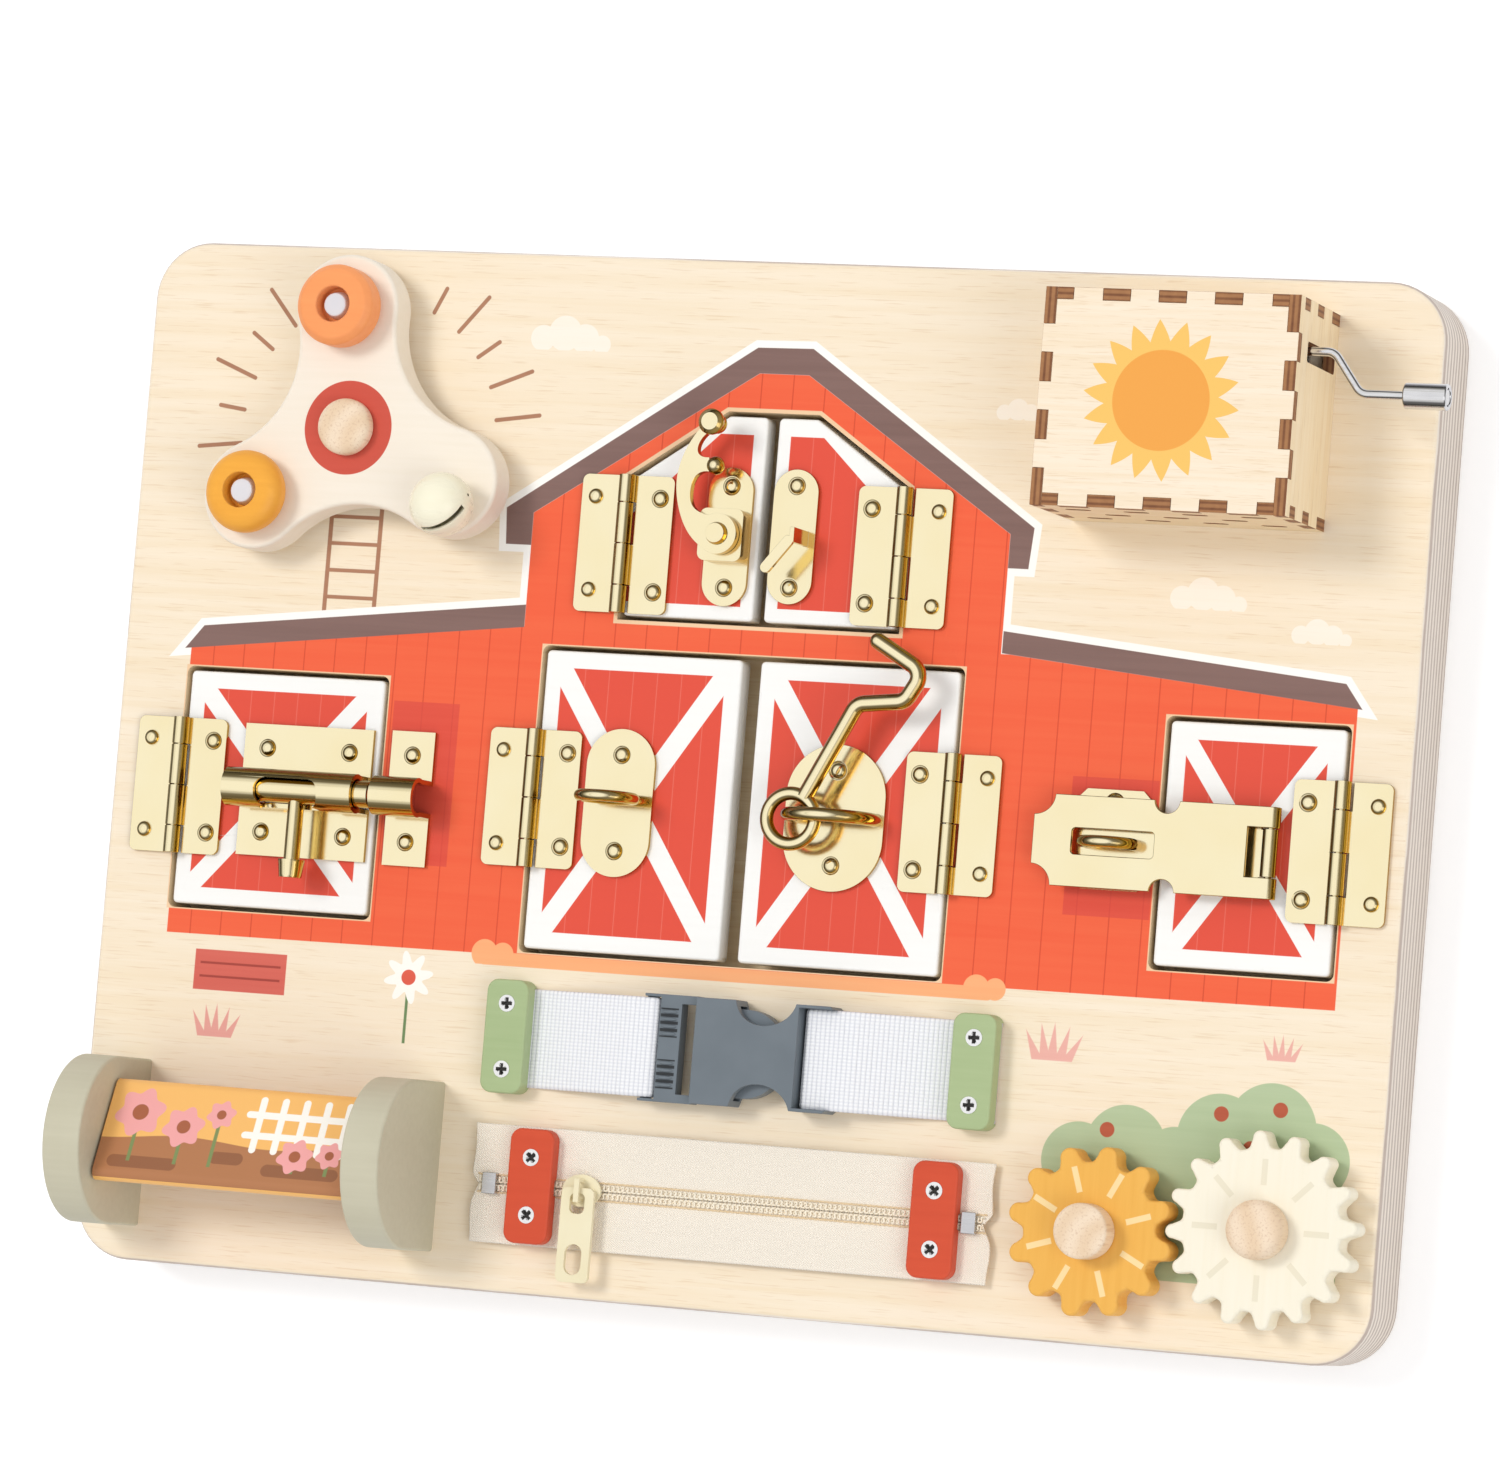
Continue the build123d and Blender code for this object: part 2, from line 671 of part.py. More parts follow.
with BuildPart() as hook_eye_plate:
    with BuildSketch(front(0)):
        with Locations((eye_x, eye_y)):
            SlotOverall(eye_plate_tall, eye_plate_wide, rotation=90)
    extrude(amount=plate_thick)
    dish(eye_rivets)
    with BuildLine(Plane(origin=(eye_x, eye_y, board_thick), x_dir=(1, 0, 0), z_dir=(0, -1, 0))):
        Line((-arch_radius, 0), (-arch_radius, arch_leg))
        ThreePointArc(
            (-arch_radius, arch_leg), (0, arch_leg + arch_radius), (arch_radius, arch_leg)
        )
        Line((arch_radius, arch_leg), (arch_radius, 0))
    with BuildSketch(Plane(origin=(eye_x - arch_radius, eye_y, board_thick), z_dir=(0, 0, 1))):
        Circle(arch_wire)
    sweep()
    add_rivets(eye_rivets)
save(hook_eye_plate, "hook_eye_plate")

# the hook lies along its own x axis, away from its eye, with its bend on the +y side
hook_frame = Plane(
    origin=(hook_x, hook_y, board_thick + hook_h), x_dir=(*turned(-1, 0, hook_rest_turn), 0),
    z_dir=(0, 0, -1),
)
with BuildPart() as door_hook:
    with BuildSketch(Plane(origin=hook_frame.origin, x_dir=hook_frame.x_dir,
                           z_dir=hook_frame.x_dir.cross(Vector(0, 0, 1)))):
        with Locations((hook_eye_radius, 0)):
            Circle(hook_eye_wire)
    revolve(axis=Axis(hook_frame.origin, (0, 0, 1)))
    with BuildLine(hook_frame):
        FilletPolyline(
            (hook_eye_radius, 0), (hook_run, hook_dip), (hook_run + 7.4, hook_rise),
            (hook_end, hook_rise), (hook_end, hook_tip), radius=3.6,
        )
    with BuildSketch(Plane(origin=hook_frame.from_local_coords((hook_eye_radius, 0, 0)),
                           z_dir=hook_frame.from_local_coords((hook_run, hook_dip, 0))
                           - hook_frame.from_local_coords((hook_eye_radius, 0, 0)))):
        Circle(hook_wire)
    sweep()
    with Locations(hook_frame.from_local_coords((hook_end, hook_tip, 0))):
        Sphere(hook_wire)
save(door_hook, "door_hook")

# ---------------------------------------------------------------- loft latch
with BuildPart() as latch_plate:
    with BuildSketch(front(0)):
        with Locations((latch_x, latch_y)):
            SlotOverall(latch_plate_tall, latch_plate_wide, rotation=90)
    extrude(amount=plate_thick)
    dish(latch_rivets)
    with BuildSketch(front(plate_thick)):
        with Locations((latch_x, latch_y)):
            RectangleRounded(latch_pad_wide, latch_pad_tall, 2.0)
    extrude(amount=latch_pad_h - plate_thick)
    with BuildSketch(front(latch_pad_h)):
        with Locations((latch_x, latch_y)):
            Circle(arm_pivot_radius)
    extrude(amount=arm_thick + 2 * body_gap)
    with BuildSketch(front(latch_pad_h + arm_thick + 2 * body_gap)):
        with Locations((latch_x, latch_y)):
            Circle(arm_pivot_radius + 1.3)
    extrude(amount=1.3, taper=18)
    add_rivets(latch_rivets)
save(latch_plate, "latch_plate")

# the arm's own x axis points along it, away from the pivot
arm_frame = Plane(
    origin=(latch_x, latch_y, board_thick + latch_pad_h + body_gap),
    x_dir=(*turned(1, 0, arm_rest_turn), 0), z_dir=(0, 0, 1),
)
ball_near, ball_far = (17.3, 2.1), (28.0, 2.7)
with BuildPart() as latch_arm:
    with BuildSketch(arm_frame):
        with BuildLine():
            Spline((-4.9, 0.6), (-0.8, 7.2), (6.0, 10.8), (14.0, 11.9), (22.0, 9.6), (28.8, 4.6))
            Line((28.8, 4.6), (26.0, 3.4))
            Spline((26.0, 3.4), (23.6, 6.2), (20.9, 6.9), (19.2, 3.6))
            Line((19.2, 3.6), (15.6, 3.4))
            Spline((15.6, 3.4), (14.4, 6.8), (10.8, 8.0), (6.6, 7.0), (4.9, 4.2), (4.6, 0.4))
            Line((4.6, 0.4), (-4.9, 0.6))
        make_face()
        Circle(arm_hub_radius)
        Circle(arm_pivot_radius + running, mode=Mode.SUBTRACT)
    extrude(amount=arm_thick)
    with Locations(arm_frame.offset(arm_thick / 2)):
        with Locations(ball_near):
            Sphere(ball_radius)
        with Locations(ball_far):
            Sphere(ball_end_radius)
    # thumb knob hanging under the far ball
    with BuildSketch(Plane(origin=arm_frame.from_local_coords((*ball_far, arm_thick / 2)),
                           x_dir=arm_frame.x_dir, z_dir=arm_frame.y_dir)):
        with BuildLine():
            Polyline(
                (0, -1.0), (1.5, -1.6), (1.5, -2.9), (thumb_knob_radius, -3.4),
                (thumb_knob_radius, -4.6), (2.2, -5.6), (0, -5.6), (0, -1.0),
            )
        make_face()
    revolve(axis=Axis(arm_frame.from_local_coords((*ball_far, 0)), (0, 0, 1)))
save(latch_arm, "latch_arm")

with BuildPart() as loft_catch:
    with BuildSketch(front(0)):
        with Locations((loft_catch_x, loft_catch_y)):
            SlotOverall(loft_catch_tall, loft_catch_wide, rotation=90)
    extrude(amount=plate_thick)
    dish(loft_catch_rivets)
    with Locations((tongue_x, tongue_y, board_thick + plate_thick)):
        Box(1.2, 3.8, tongue_tall, align=(Align.CENTER, Align.CENTER, Align.MIN))
    with BuildSketch(front(plate_thick + tongue_tall - 1.2)):
        with Locations((tongue_x - leaf_long * 0.32, tongue_y - leaf_long * 0.44)):
            SlotOverall(leaf_long, leaf_wide, rotation=52)
    extrude(amount=1.2)
    add_rivets(loft_catch_rivets)
save(loft_catch, "loft_catch")

# ---------------------------------------------------------------- hasp and staple
with BuildPart() as hasp_base:
    with BuildSketch(front(0)):
        with Locations(((hasp_base_left + hasp_axis_x - 3) / 2, hasp_y)):
            Rectangle(hasp_axis_x - 3 - hasp_base_left, hasp_tall - 1)
    extrude(amount=plate_thick)
    dish(hasp_rivets)
    middle = hasp_window_tall / 2 - body_gap
    with BuildSketch(Plane.XZ.offset(-(hasp_y - middle))):
        with Locations((hasp_axis_x - 2, board_thick + plate_thick / 2)):
            Rectangle(4, plate_thick)
        with Locations((hasp_axis_x, board_thick + hasp_axis_h / 2)):
            Rectangle(hasp_knuckle_radius * 1.2, hasp_axis_h)
        with Locations((hasp_axis_x, board_thick + hasp_axis_h)):
            Circle(hasp_knuckle_radius)
    extrude(amount=-2 * middle)
    with BuildSketch(Plane.XZ.offset(-(hasp_y - hasp_tall / 2))):
        with Locations((hasp_axis_x, board_thick + hasp_axis_h)):
            Circle(hinge_pin_radius)
    extrude(amount=-hasp_tall)
    add_rivets(hasp_rivets)
save(hasp_base, "hasp_base")

with BuildPart() as hasp_flap:
    with BuildSketch(front(hasp_h)):
        with Locations(((hasp_left_x + hasp_axis_x) / 2, hasp_y)):
            Rectangle(hasp_axis_x - hasp_left_x, hasp_tall)
        for side in (-1, 1):
            with Locations((hasp_left_x, hasp_y + side * hasp_tall / 2)):
                Circle(hasp_corner_cut, mode=Mode.SUBTRACT)
            with Locations((hasp_notch_x, hasp_y + side * hasp_tall / 2)):
                Circle(hasp_notch_radius, mode=Mode.SUBTRACT)
        with Locations((hasp_slot_x, hasp_y)):
            RectangleRounded(hasp_slot_wide, hasp_slot_tall, 1.0, mode=Mode.SUBTRACT)
        with Locations((hasp_axis_x - hasp_window_long / 2, hasp_y)):
            Rectangle(hasp_window_long, hasp_window_tall, mode=Mode.SUBTRACT)
    extrude(amount=plate_thick)
    for y0, y1 in (
        (hasp_y - hasp_tall / 2, hasp_y - hasp_window_tall / 2),
        (hasp_y + hasp_window_tall / 2, hasp_y + hasp_tall / 2),
    ):
        with BuildSketch(Plane.XZ.offset(-y0)):
            with Locations((hasp_axis_x, board_thick + hasp_axis_h)):
                Circle(hasp_h + plate_thick - hasp_axis_h)
        extrude(amount=-(y1 - y0))
    with BuildSketch(Plane.XZ.offset(-(hasp_y - hasp_tall / 2))):
        with Locations((hasp_axis_x, board_thick + hasp_axis_h)):
            Circle(hinge_pin_radius + running)
    extrude(amount=-hasp_tall, mode=Mode.SUBTRACT)
save(hasp_flap, "hasp_flap")

with BuildPart() as hasp_staple:
    with BuildSketch(front(0)):
        with Locations((staple_x, hasp_y + 1)):
            Rectangle(staple_plate_wide, staple_plate_tall)
    extrude(amount=plate_thick)
    chamfer(hasp_staple.edges().filter_by(Axis.Z), 4.0)
    dish(staple_rivets)
    loop_top = plate_thick + staple_leg + staple_loop_radius
    with BuildLine(Plane(origin=(staple_x, hasp_y, board_thick), x_dir=(1, 0, 0),
                         z_dir=(0, -1, 0))):
        Line((-staple_loop_radius, 0), (-staple_loop_radius, plate_thick + staple_leg))
        ThreePointArc(
            (-staple_loop_radius, plate_thick + staple_leg), (0, loop_top),
            (staple_loop_radius, plate_thick + staple_leg),
        )
        Line((staple_loop_radius, plate_thick + staple_leg), (staple_loop_radius, 0))
    with BuildSketch(Plane(origin=(staple_x - staple_loop_radius, hasp_y, board_thick),
                           z_dir=(0, 0, 1))):
        Circle(staple_loop_wire)
    sweep()
    add_rivets(staple_rivets)
save(hasp_staple, "hasp_staple")

# ---------------------------------------------------------------- pegs
def peg(x, y, seat_h, thick, head_radius, head_tall):
    """Turned peg: shank into the board, a collar under the wheel and a head over it."""
    top = seat_h + thick + body_gap
    for h0, h1, radius in (
        (-peg_deep, top, spinner_bore), (0, seat_h - body_gap, spinner_bore + 3),
        (top, top + head_tall, head_radius),
    ):
        with Locations((x, y, board_thick + h0)):
            Cylinder(radius, h1 - h0, align=(Align.CENTER, Align.CENTER, Align.MIN))


with BuildPart() as spinner_peg:
    peg(spinner_x, spinner_y, spinner_h, spinner_thick, spinner_head_radius, spinner_head_tall)
    fillet(spinner_peg.faces().sort_by(Axis.Z)[-1].edges(), 2.6)
save(spinner_peg, "spinner_peg")

with BuildPart() as gear_pegs:
    peg(cream_x, cream_y, gear_h, gear_thick, gear_head_radius + 0.4, gear_head_tall)
    fillet(gear_pegs.faces().sort_by(Axis.Z)[-1].edges(), 3.0)
    peg(orange_x, orange_y, gear_h, gear_thick, gear_head_radius, gear_head_tall + 0.1)
    chamfer(gear_pegs.faces().sort_by(Axis.Z)[-1].edges(), 0.6)
save(gear_pegs, "gear_pegs")

# ---------------------------------------------------------------- spinner
spinner_top = spinner_h + spinner_thick
lobe_at = [
    (spinner_x + turned(lobe_reach, 0, spinner_turn + k * 120)[0],
     spinner_y + turned(lobe_reach, 0, spinner_turn + k * 120)[1])
    for k in range(3)
]
tangent_share = lobe_radius / (lobe_radius + waist_radius)
waist_way = turned(waist_reach, 0, 60)
tangent_x = lobe_reach + (waist_way[0] - lobe_reach) * tangent_share
tangent_y = waist_way[1] * tangent_share
bead_pin_deep = 5.0
staple_deep = 3.0
bell_axis_h = spinner_top + bell_loop_h + 0.4
bell_way = (0.496, -0.868)
bell_lean = (0.868, 0.496)
staple_at = (lobe_at[2][0] - 0.6, lobe_at[2][1] - 0.2)
staple_feet = [
    (staple_at[0] + k * staple_half * bell_lean[0], staple_at[1] + k * staple_half * bell_lean[1])
    for k in (-1, 1)
]
spinner_frame = Plane(origin=(spinner_x, spinner_y, board_thick + spinner_h), z_dir=(0, 0, 1))

with BuildPart() as spinner_body:
    with BuildSketch(spinner_frame):
        with BuildLine():
            for k in range(3):
                a = spinner_turn + 120 * k
                ThreePointArc(
                    turned(tangent_x, -tangent_y, a), turned(lobe_reach + lobe_radius, 0, a),
                    turned(tangent_x, tangent_y, a),
                )
                ThreePointArc(
                    turned(tangent_x, tangent_y, a),
                    turned(waist_reach - waist_radius, 0, a + 60),
                    turned(tangent_x, -tangent_y, a + 120),
                )
        make_face()
        Circle(spinner_bore + running, mode=Mode.SUBTRACT)
    extrude(amount=spinner_thick)
    rims = spinner_body.edges().filter_by(
        lambda e: e.center().Z > board_thick + spinner_top - 0.01 and e.radius > spinner_bore + 1
    )
    fillet(rims, 1.2)
    with BuildSketch(front(spinner_top)):
        with Locations(*lobe_at[:2]):
            Circle(bead_bore - running + snug)
    extrude(amount=-(bead_pin_deep + snug), mode=Mode.SUBTRACT)
    with BuildSketch(front(spinner_top)):
        with Locations(*staple_feet):
            Circle(staple_wire + snug)
    extrude(amount=-(staple_deep + snug), mode=Mode.SUBTRACT)
save(spinner_body, "spinner_body")

bead_h = spinner_top + bead_lift
bead_pin_top = bead_h + bead_tall - bead_pocket_deep + body_gap
with BuildPart() as spinner_pins:
    for spot in lobe_at[:2]:
        with BuildSketch(front(spinner_top - bead_pin_deep)):
            with Locations(spot):
                Circle(bead_bore - running)
        extrude(amount=bead_pin_top - spinner_top + bead_pin_deep)
        with BuildSketch(front(bead_pin_top)):
            with Locations(spot):
                Circle(bead_pin_head)
        extrude(amount=bead_pin_head_tall, taper=14)
    # the bell's staple
    staple_plane = Plane(
        origin=(*staple_at, board_thick), x_dir=(*bell_lean, 0), z_dir=(*turned(*bell_lean, -90), 0)
    )
    with BuildLine(staple_plane):
        FilletPolyline(
            (-staple_half, spinner_top - staple_deep), (-staple_half, bell_axis_h),
            (staple_half, bell_axis_h), (staple_half, spinner_top - staple_deep), radius=1.0,
        )
    with BuildSketch(Plane(origin=(*staple_feet[0], board_thick + spinner_top - staple_deep),
                           z_dir=(0, 0, 1))):
        Circle(staple_wire)
    sweep()
save(spinner_pins, "spinner_pins")


def bead(spot, radius, rounding, square):
    """A bead around its pin, with a pocket for the pin's head."""
    with BuildPart() as ring:
        with BuildSketch(front(bead_h)):
            with Locations(spot):
                Circle(radius)
        extrude(amount=bead_tall)
        rims = ring.edges().filter_by(GeomType.CIRCLE)
        if square:
            chamfer(rims, rounding)
        else:
            fillet(rims, rounding)
        with Locations((*spot, board_thick + bead_h + bead_tall)):
            CounterBoreHole(bead_bore, bead_pocket, bead_pocket_deep, bead_tall)
    return ring


save(bead(lobe_at[0], bead_radius, bead_chamfer, True), "orange_bead")
save(bead(lobe_at[1], round_bead_radius, round_bead_round, False), "yellow_bead")

bell_rise = bell_radius + 0.5 + spinner_top - bell_axis_h
bell_hang = bell_radius + bell_loop_radius
bell_out = math.sqrt(bell_hang ** 2 - bell_rise ** 2)
bell_centre = Vector(
    staple_at[0] + bell_way[0] * bell_out, staple_at[1] + bell_way[1] * bell_out,
    board_thick + bell_axis_h + bell_rise,
)
bell_link = Vector(*staple_at, board_thick + bell_axis_h)
bell_up = (bell_link - bell_centre).normalized()
bell_frame = Plane(origin=bell_centre, x_dir=(*bell_lean, 0), z_dir=bell_up)
with BuildPart() as jingle_bell:
    with Locations(bell_frame):
        Sphere(bell_radius)
        with Locations((0, 0, bell_hang)):
            Torus(bell_loop_radius, bell_loop_wire, rotation=(0, 90, 0))
        Sphere(bell_radius - bell_wall, mode=Mode.SUBTRACT)
        # a slot with round ends across the bell's mouth
        with Locations((0, 0, -bell_radius / 2 - 1)):
            Box(bell_radius * 1.5, 1.5, bell_radius, mode=Mode.SUBTRACT)
        for side in (-1, 1):
            with Locations((side * bell_radius * 0.75, 0, -1.5)):
                Sphere(1.9, mode=Mode.SUBTRACT)
    with Locations(bell_centre - Vector(0, 0, bell_radius - bell_wall - bell_pea_radius - 0.1)):
        Sphere(bell_pea_radius)
save(jingle_bell, "jingle_bell")


# ---------------------------------------------------------------- music box
def block(x0, x1, y0, y1, h0, h1, mode=Mode.ADD):
    """Box between two x, two y and two heights."""
    with Locations(((x0 + x1) / 2, (y0 + y1) / 2, board_thick + (h0 + h1) / 2)):
        Box(x1 - x0, y1 - y0, h1 - h0, mode=mode)


box_x0, box_x1 = box_x - box_wide / 2, box_x + box_wide / 2
box_y0, box_y1 = box_y - box_tall / 2, box_y + box_tall / 2
lid_h = box_deep - box_wall
corner_h = ((0.0, 7.0), (14.4, 19.9), (26.6, 31.2))
# the long walls' tabs and the side walls' tabs that come through the front
long_tabs = [(box_x + k * finger_pitch - finger / 2, box_x + k * finger_pitch + finger / 2)
             for k in (-1, 0, 1)]
long_tabs += [(box_x0 + box_wall, box_x0 + box_wall + end_finger),
              (box_x1 - box_wall - end_finger, box_x1 - box_wall)]
side_tabs = [(box_y + k * finger_pitch - side_finger / 2, box_y + k * finger_pitch + side_finger / 2)
             for k in (-0.5, 0.5)]
outer_tab = box_y + 1.5 * finger_pitch - side_finger / 2 - box_y
side_tabs += [(box_y0, box_y - outer_tab), (box_y + outer_tab, box_y1)]

with BuildPart() as music_box_front:
    block(box_x0, box_x1, box_y0, box_y1, lid_h, box_deep)
    for x0, x1 in long_tabs:
        block(x0 - snug, x1 + snug, box_y0, box_y0 + box_wall + snug, lid_h, box_deep,
              Mode.SUBTRACT)
        block(x0 - snug, x1 + snug, box_y1 - box_wall - snug, box_y1, lid_h, box_deep,
              Mode.SUBTRACT)
    for y0, y1 in side_tabs:
        block(box_x0, box_x0 + box_wall + snug, y0 - snug, y1 + snug, lid_h, box_deep,
              Mode.SUBTRACT)
        block(box_x1 - box_wall - snug, box_x1, y0 - snug, y1 + snug, lid_h, box_deep,
              Mode.SUBTRACT)
save(music_box_front, "music_box_front")

with BuildPart() as music_box_long_walls:
    for y0, y1 in ((box_y0, box_y0 + box_wall), (box_y1 - box_wall, box_y1)):
        block(box_x0 + box_wall + snug, box_x1 - box_wall - snug, y0, y1, 0, lid_h)
        for x0, x1 in long_tabs:
            block(x0 + snug, x1 - snug, y0, y1, lid_h, box_deep)
        for h0, h1 in corner_h:
            block(box_x0, box_x1, y0, y1, h0, h1)
    # sound holes through the lower wall
    for row, count in ((27.0, 4), (18.0, 3), (9.0, 4)):
        for k in range(count):
            x = box_x + (k - (count - 1) / 2) * sound_hole_pitch
            with BuildSketch(Plane(origin=(x, box_y0, board_thick + row), x_dir=(1, 0, 0),
                                   z_dir=(0, 1, 0))):
                SlotOverall(sound_hole_long, sound_hole_wide)
            extrude(amount=box_wall, mode=Mode.SUBTRACT)
save(music_box_long_walls, "music_box_long_walls")


def side_wall(x0, x1):
    """One short wall of the box, notched for the long walls' corner fingers."""
    block(x0, x1, box_y0, box_y1, 0, lid_h)
    for y0, y1 in side_tabs:
        block(x0, x1, y0, y1, lid_h, box_deep)
    for h0, h1 in corner_h:
        for y0, y1 in ((box_y0, box_y0 + box_wall + snug), (box_y1 - box_wall - snug, box_y1)):
            block(x0, x1, y0, y1, max(h0 - snug, 0), h1 + snug, Mode.SUBTRACT)


with BuildPart() as music_box_left_wall:
    side_wall(box_x0, box_x0 + box_wall)
save(music_box_left_wall, "music_box_left_wall")

with BuildPart() as music_box_right_wall:
    side_wall(box_x1 - box_wall, box_x1)
    with BuildSketch(Plane.YZ.offset(box_x1 - box_wall - 1)):
        with Locations((crank_y - 0.4, board_thick + 14.2)):
            RectangleRounded(crank_slot, 24.4, 0.8)
    extrude(amount=box_wall + 2, mode=Mode.SUBTRACT)
save(music_box_right_wall, "music_box_right_wall")


# ---------------------------------------------------------------- movement and crank
def works_gear(x, y, h, teeth, module, phase, bore):
    """Small brass spur gear square to X, added to the current part."""
    pitch = teeth * module / 2
    corners = []
    for k in range(teeth):
        a = 360 / teeth
        for reach, offset in (
            (pitch - 1.15 * module, -0.27), (pitch + 0.85 * module, -0.10),
            (pitch + 0.85 * module, 0.10), (pitch - 1.15 * module, 0.27),
        ):
            corners.append(turned(reach, 0, phase + (k + offset) * a))
    with BuildSketch(Plane(origin=(x, y, board_thick + h), x_dir=(0, 1, 0), z_dir=(1, 0, 0))) as s:
        Polygon(*corners, align=None)
        if bore:
            Circle(bore, mode=Mode.SUBTRACT)
    extrude(s.sketch, amount=works_gear_thick)


works_reach = math.hypot(crank_y - cylinder_y, crank_h - cylinder_h)
works_module = 2 * works_reach / (crank_teeth + cylinder_teeth)
works_line = math.degrees(math.atan2(crank_h - cylinder_h, crank_y - cylinder_y))

with BuildPart() as movement_bed:
    block(bed_left, bed_right, bed_bottom, bed_top, 0, bed_thick)
    block(cylinder_left, cylinder_right, bed_bottom, bed_bottom + 6, bed_thick, comb_h)
    for x in (bearing_left, bearing_right):
        with BuildSketch(Plane.YZ.offset(x)):
            Polygon(
                (92.0, board_thick + bed_thick), (117.5, board_thick + bed_thick),
                (117.5, board_thick + 28.5), (107.0, board_thick + 28.5),
                (91.0, board_thick + 21.0), align=None,
            )
            with Locations((cylinder_y, board_thick + cylinder_h)):
                Circle(cylinder_shaft + running, mode=Mode.SUBTRACT)
            with Locations((crank_y, board_thick + crank_h)):
                Circle(crank_wire + running, mode=Mode.SUBTRACT)
        extrude(amount=bearing_thick)
save(movement_bed, "movement_bed")

with BuildPart() as movement_comb:
    comb_end = cylinder_y - math.sqrt(
        (cylinder_radius + body_gap) ** 2 - (comb_h + comb_thick - cylinder_h) ** 2) - 0.1
    block(cylinder_left, cylinder_right, bed_bottom, comb_end, comb_h, comb_h + comb_thick)
    for k in range(14):
        x = cylinder_left + (k + 1) * (cylinder_right - cylinder_left) / 15
        block(x - 0.15, x + 0.15, bed_bottom + 7, comb_end, comb_h, comb_h + comb_thick,
              Mode.SUBTRACT)
save(movement_comb, "movement_comb")

with BuildPart() as music_cylinder:
    for x0, x1, radius in (
        (bearing_left - 0.5, works_gear_x + works_gear_thick, cylinder_shaft),
        (cylinder_left, cylinder_right, cylinder_radius),
    ):
        with BuildSketch(Plane.YZ.offset(x0)):
            with Locations((cylinder_y, board_thick + cylinder_h)):
                Circle(radius)
        extrude(amount=x1 - x0)
    works_gear(works_gear_x, cylinder_y, cylinder_h, cylinder_teeth, works_module, works_line, 0)
save(music_cylinder, "music_cylinder")

knob_plane = Plane.YZ.offset(crank_knob_x)
crank_end_x = crank_knob_x + crank_knob_long
with BuildPart() as crank_arm:
    with BuildLine(Plane.XY.offset(board_thick + crank_h)):
        FilletPolyline(
            (bearing_left - 0.5, crank_y), (crank_bend_x, crank_y),
            (crank_turn_x, crank_y - crank_throw), (crank_end_x - 1.2, crank_y - crank_throw),
            radius=3.5,
        )
    with BuildSketch(Plane(origin=(bearing_left - 0.5, crank_y, board_thick + crank_h),
                           x_dir=(0, 1, 0), z_dir=(1, 0, 0))):
        Circle(crank_wire)
    sweep()
    with BuildSketch(Plane.YZ.offset(crank_end_x - 1.2)):
        with Locations((crank_y - crank_throw, board_thick + crank_h)):
            Circle(crank_wire + 0.8)
    extrude(amount=0.9)
    works_gear(works_gear_x, crank_y, crank_h, crank_teeth, works_module,
               works_line + 180 + 180 / crank_teeth, 0)
save(crank_arm, "crank_arm")

with BuildPart() as crank_knob:
    with BuildSketch(knob_plane):
        with Locations((crank_y - crank_throw, board_thick + crank_h)):
            Circle(crank_knob_radius)
    extrude(amount=crank_knob_long)
    fillet(crank_knob.edges().filter_by(GeomType.CIRCLE), 0.6)
    with BuildSketch(knob_plane):
        with Locations((crank_y - crank_throw, board_thick + crank_h)):
            Circle(crank_wire + running)
    extrude(amount=crank_knob_long, mode=Mode.SUBTRACT)
    with BuildSketch(Plane.YZ.offset(crank_end_x - 1.5)):
        with Locations((crank_y - crank_throw, board_thick + crank_h)):
            Circle(crank_wire + 0.8 + body_gap)
    extrude(amount=2, mode=Mode.SUBTRACT)
save(crank_knob, "crank_knob")

# ---------------------------------------------------------------- picture roller
with BuildPart() as roller_end_blocks:
    for x, way in ((roller_left_x, -1), (roller_right_x, 1)):
        with BuildSketch(Plane.YZ.offset(x)):
            with Locations((roller_y, board_thick + roller_straight / 2)):
                Rectangle(2 * roller_block_half, roller_straight)
            with Locations((roller_y, board_thick + roller_straight)):
                Circle(roller_block_half)
            with Locations((roller_y, board_thick - roller_block_half / 2)):
                Rectangle(2 * roller_block_half, roller_block_half, mode=Mode.SUBTRACT)
        extrude(amount=way * roller_block)
        with BuildSketch(Plane.YZ.offset(x)):
            with Locations((roller_y, board_thick + roller_h)):
                Circle(roller_axle_radius + snug)
        extrude(amount=way * (roller_axle_deep + snug), mode=Mode.SUBTRACT)
    arches = roller_end_blocks.edges().filter_by(GeomType.CIRCLE).filter_by(
        lambda e: e.radius > roller_axle_radius + 1)
    fillet(arches, 0.8)
save(roller_end_blocks, "roller_end_blocks")

with BuildPart() as roller_axle:
    with BuildSketch(Plane.YZ.offset(roller_left_x - roller_axle_deep)):
        with Locations((roller_y, board_thick + roller_h)):
            Circle(roller_axle_radius)
    extrude(amount=roller_right_x - roller_left_x + 2 * roller_axle_deep)
save(roller_axle, "roller_axle")

roller_tip = roller_face / math.sqrt(3)
with BuildPart() as roller_prism:
    with BuildSketch(Plane(origin=(roller_left_x + roller_end_gap, roller_y, board_thick + roller_h),
                           x_dir=(0, 1, 0), z_dir=(1, 0, 0))) as prism:
        Polygon(*[turned(roller_tip, 0, 30 - roller_tilt + 120 * k) for k in range(3)], align=None)
        fillet(prism.vertices(), roller_edge_round)
        Circle(roller_axle_radius + running, mode=Mode.SUBTRACT)
    extrude(amount=roller_right_x - roller_left_x - 2 * roller_end_gap)
save(roller_prism, "roller_prism")


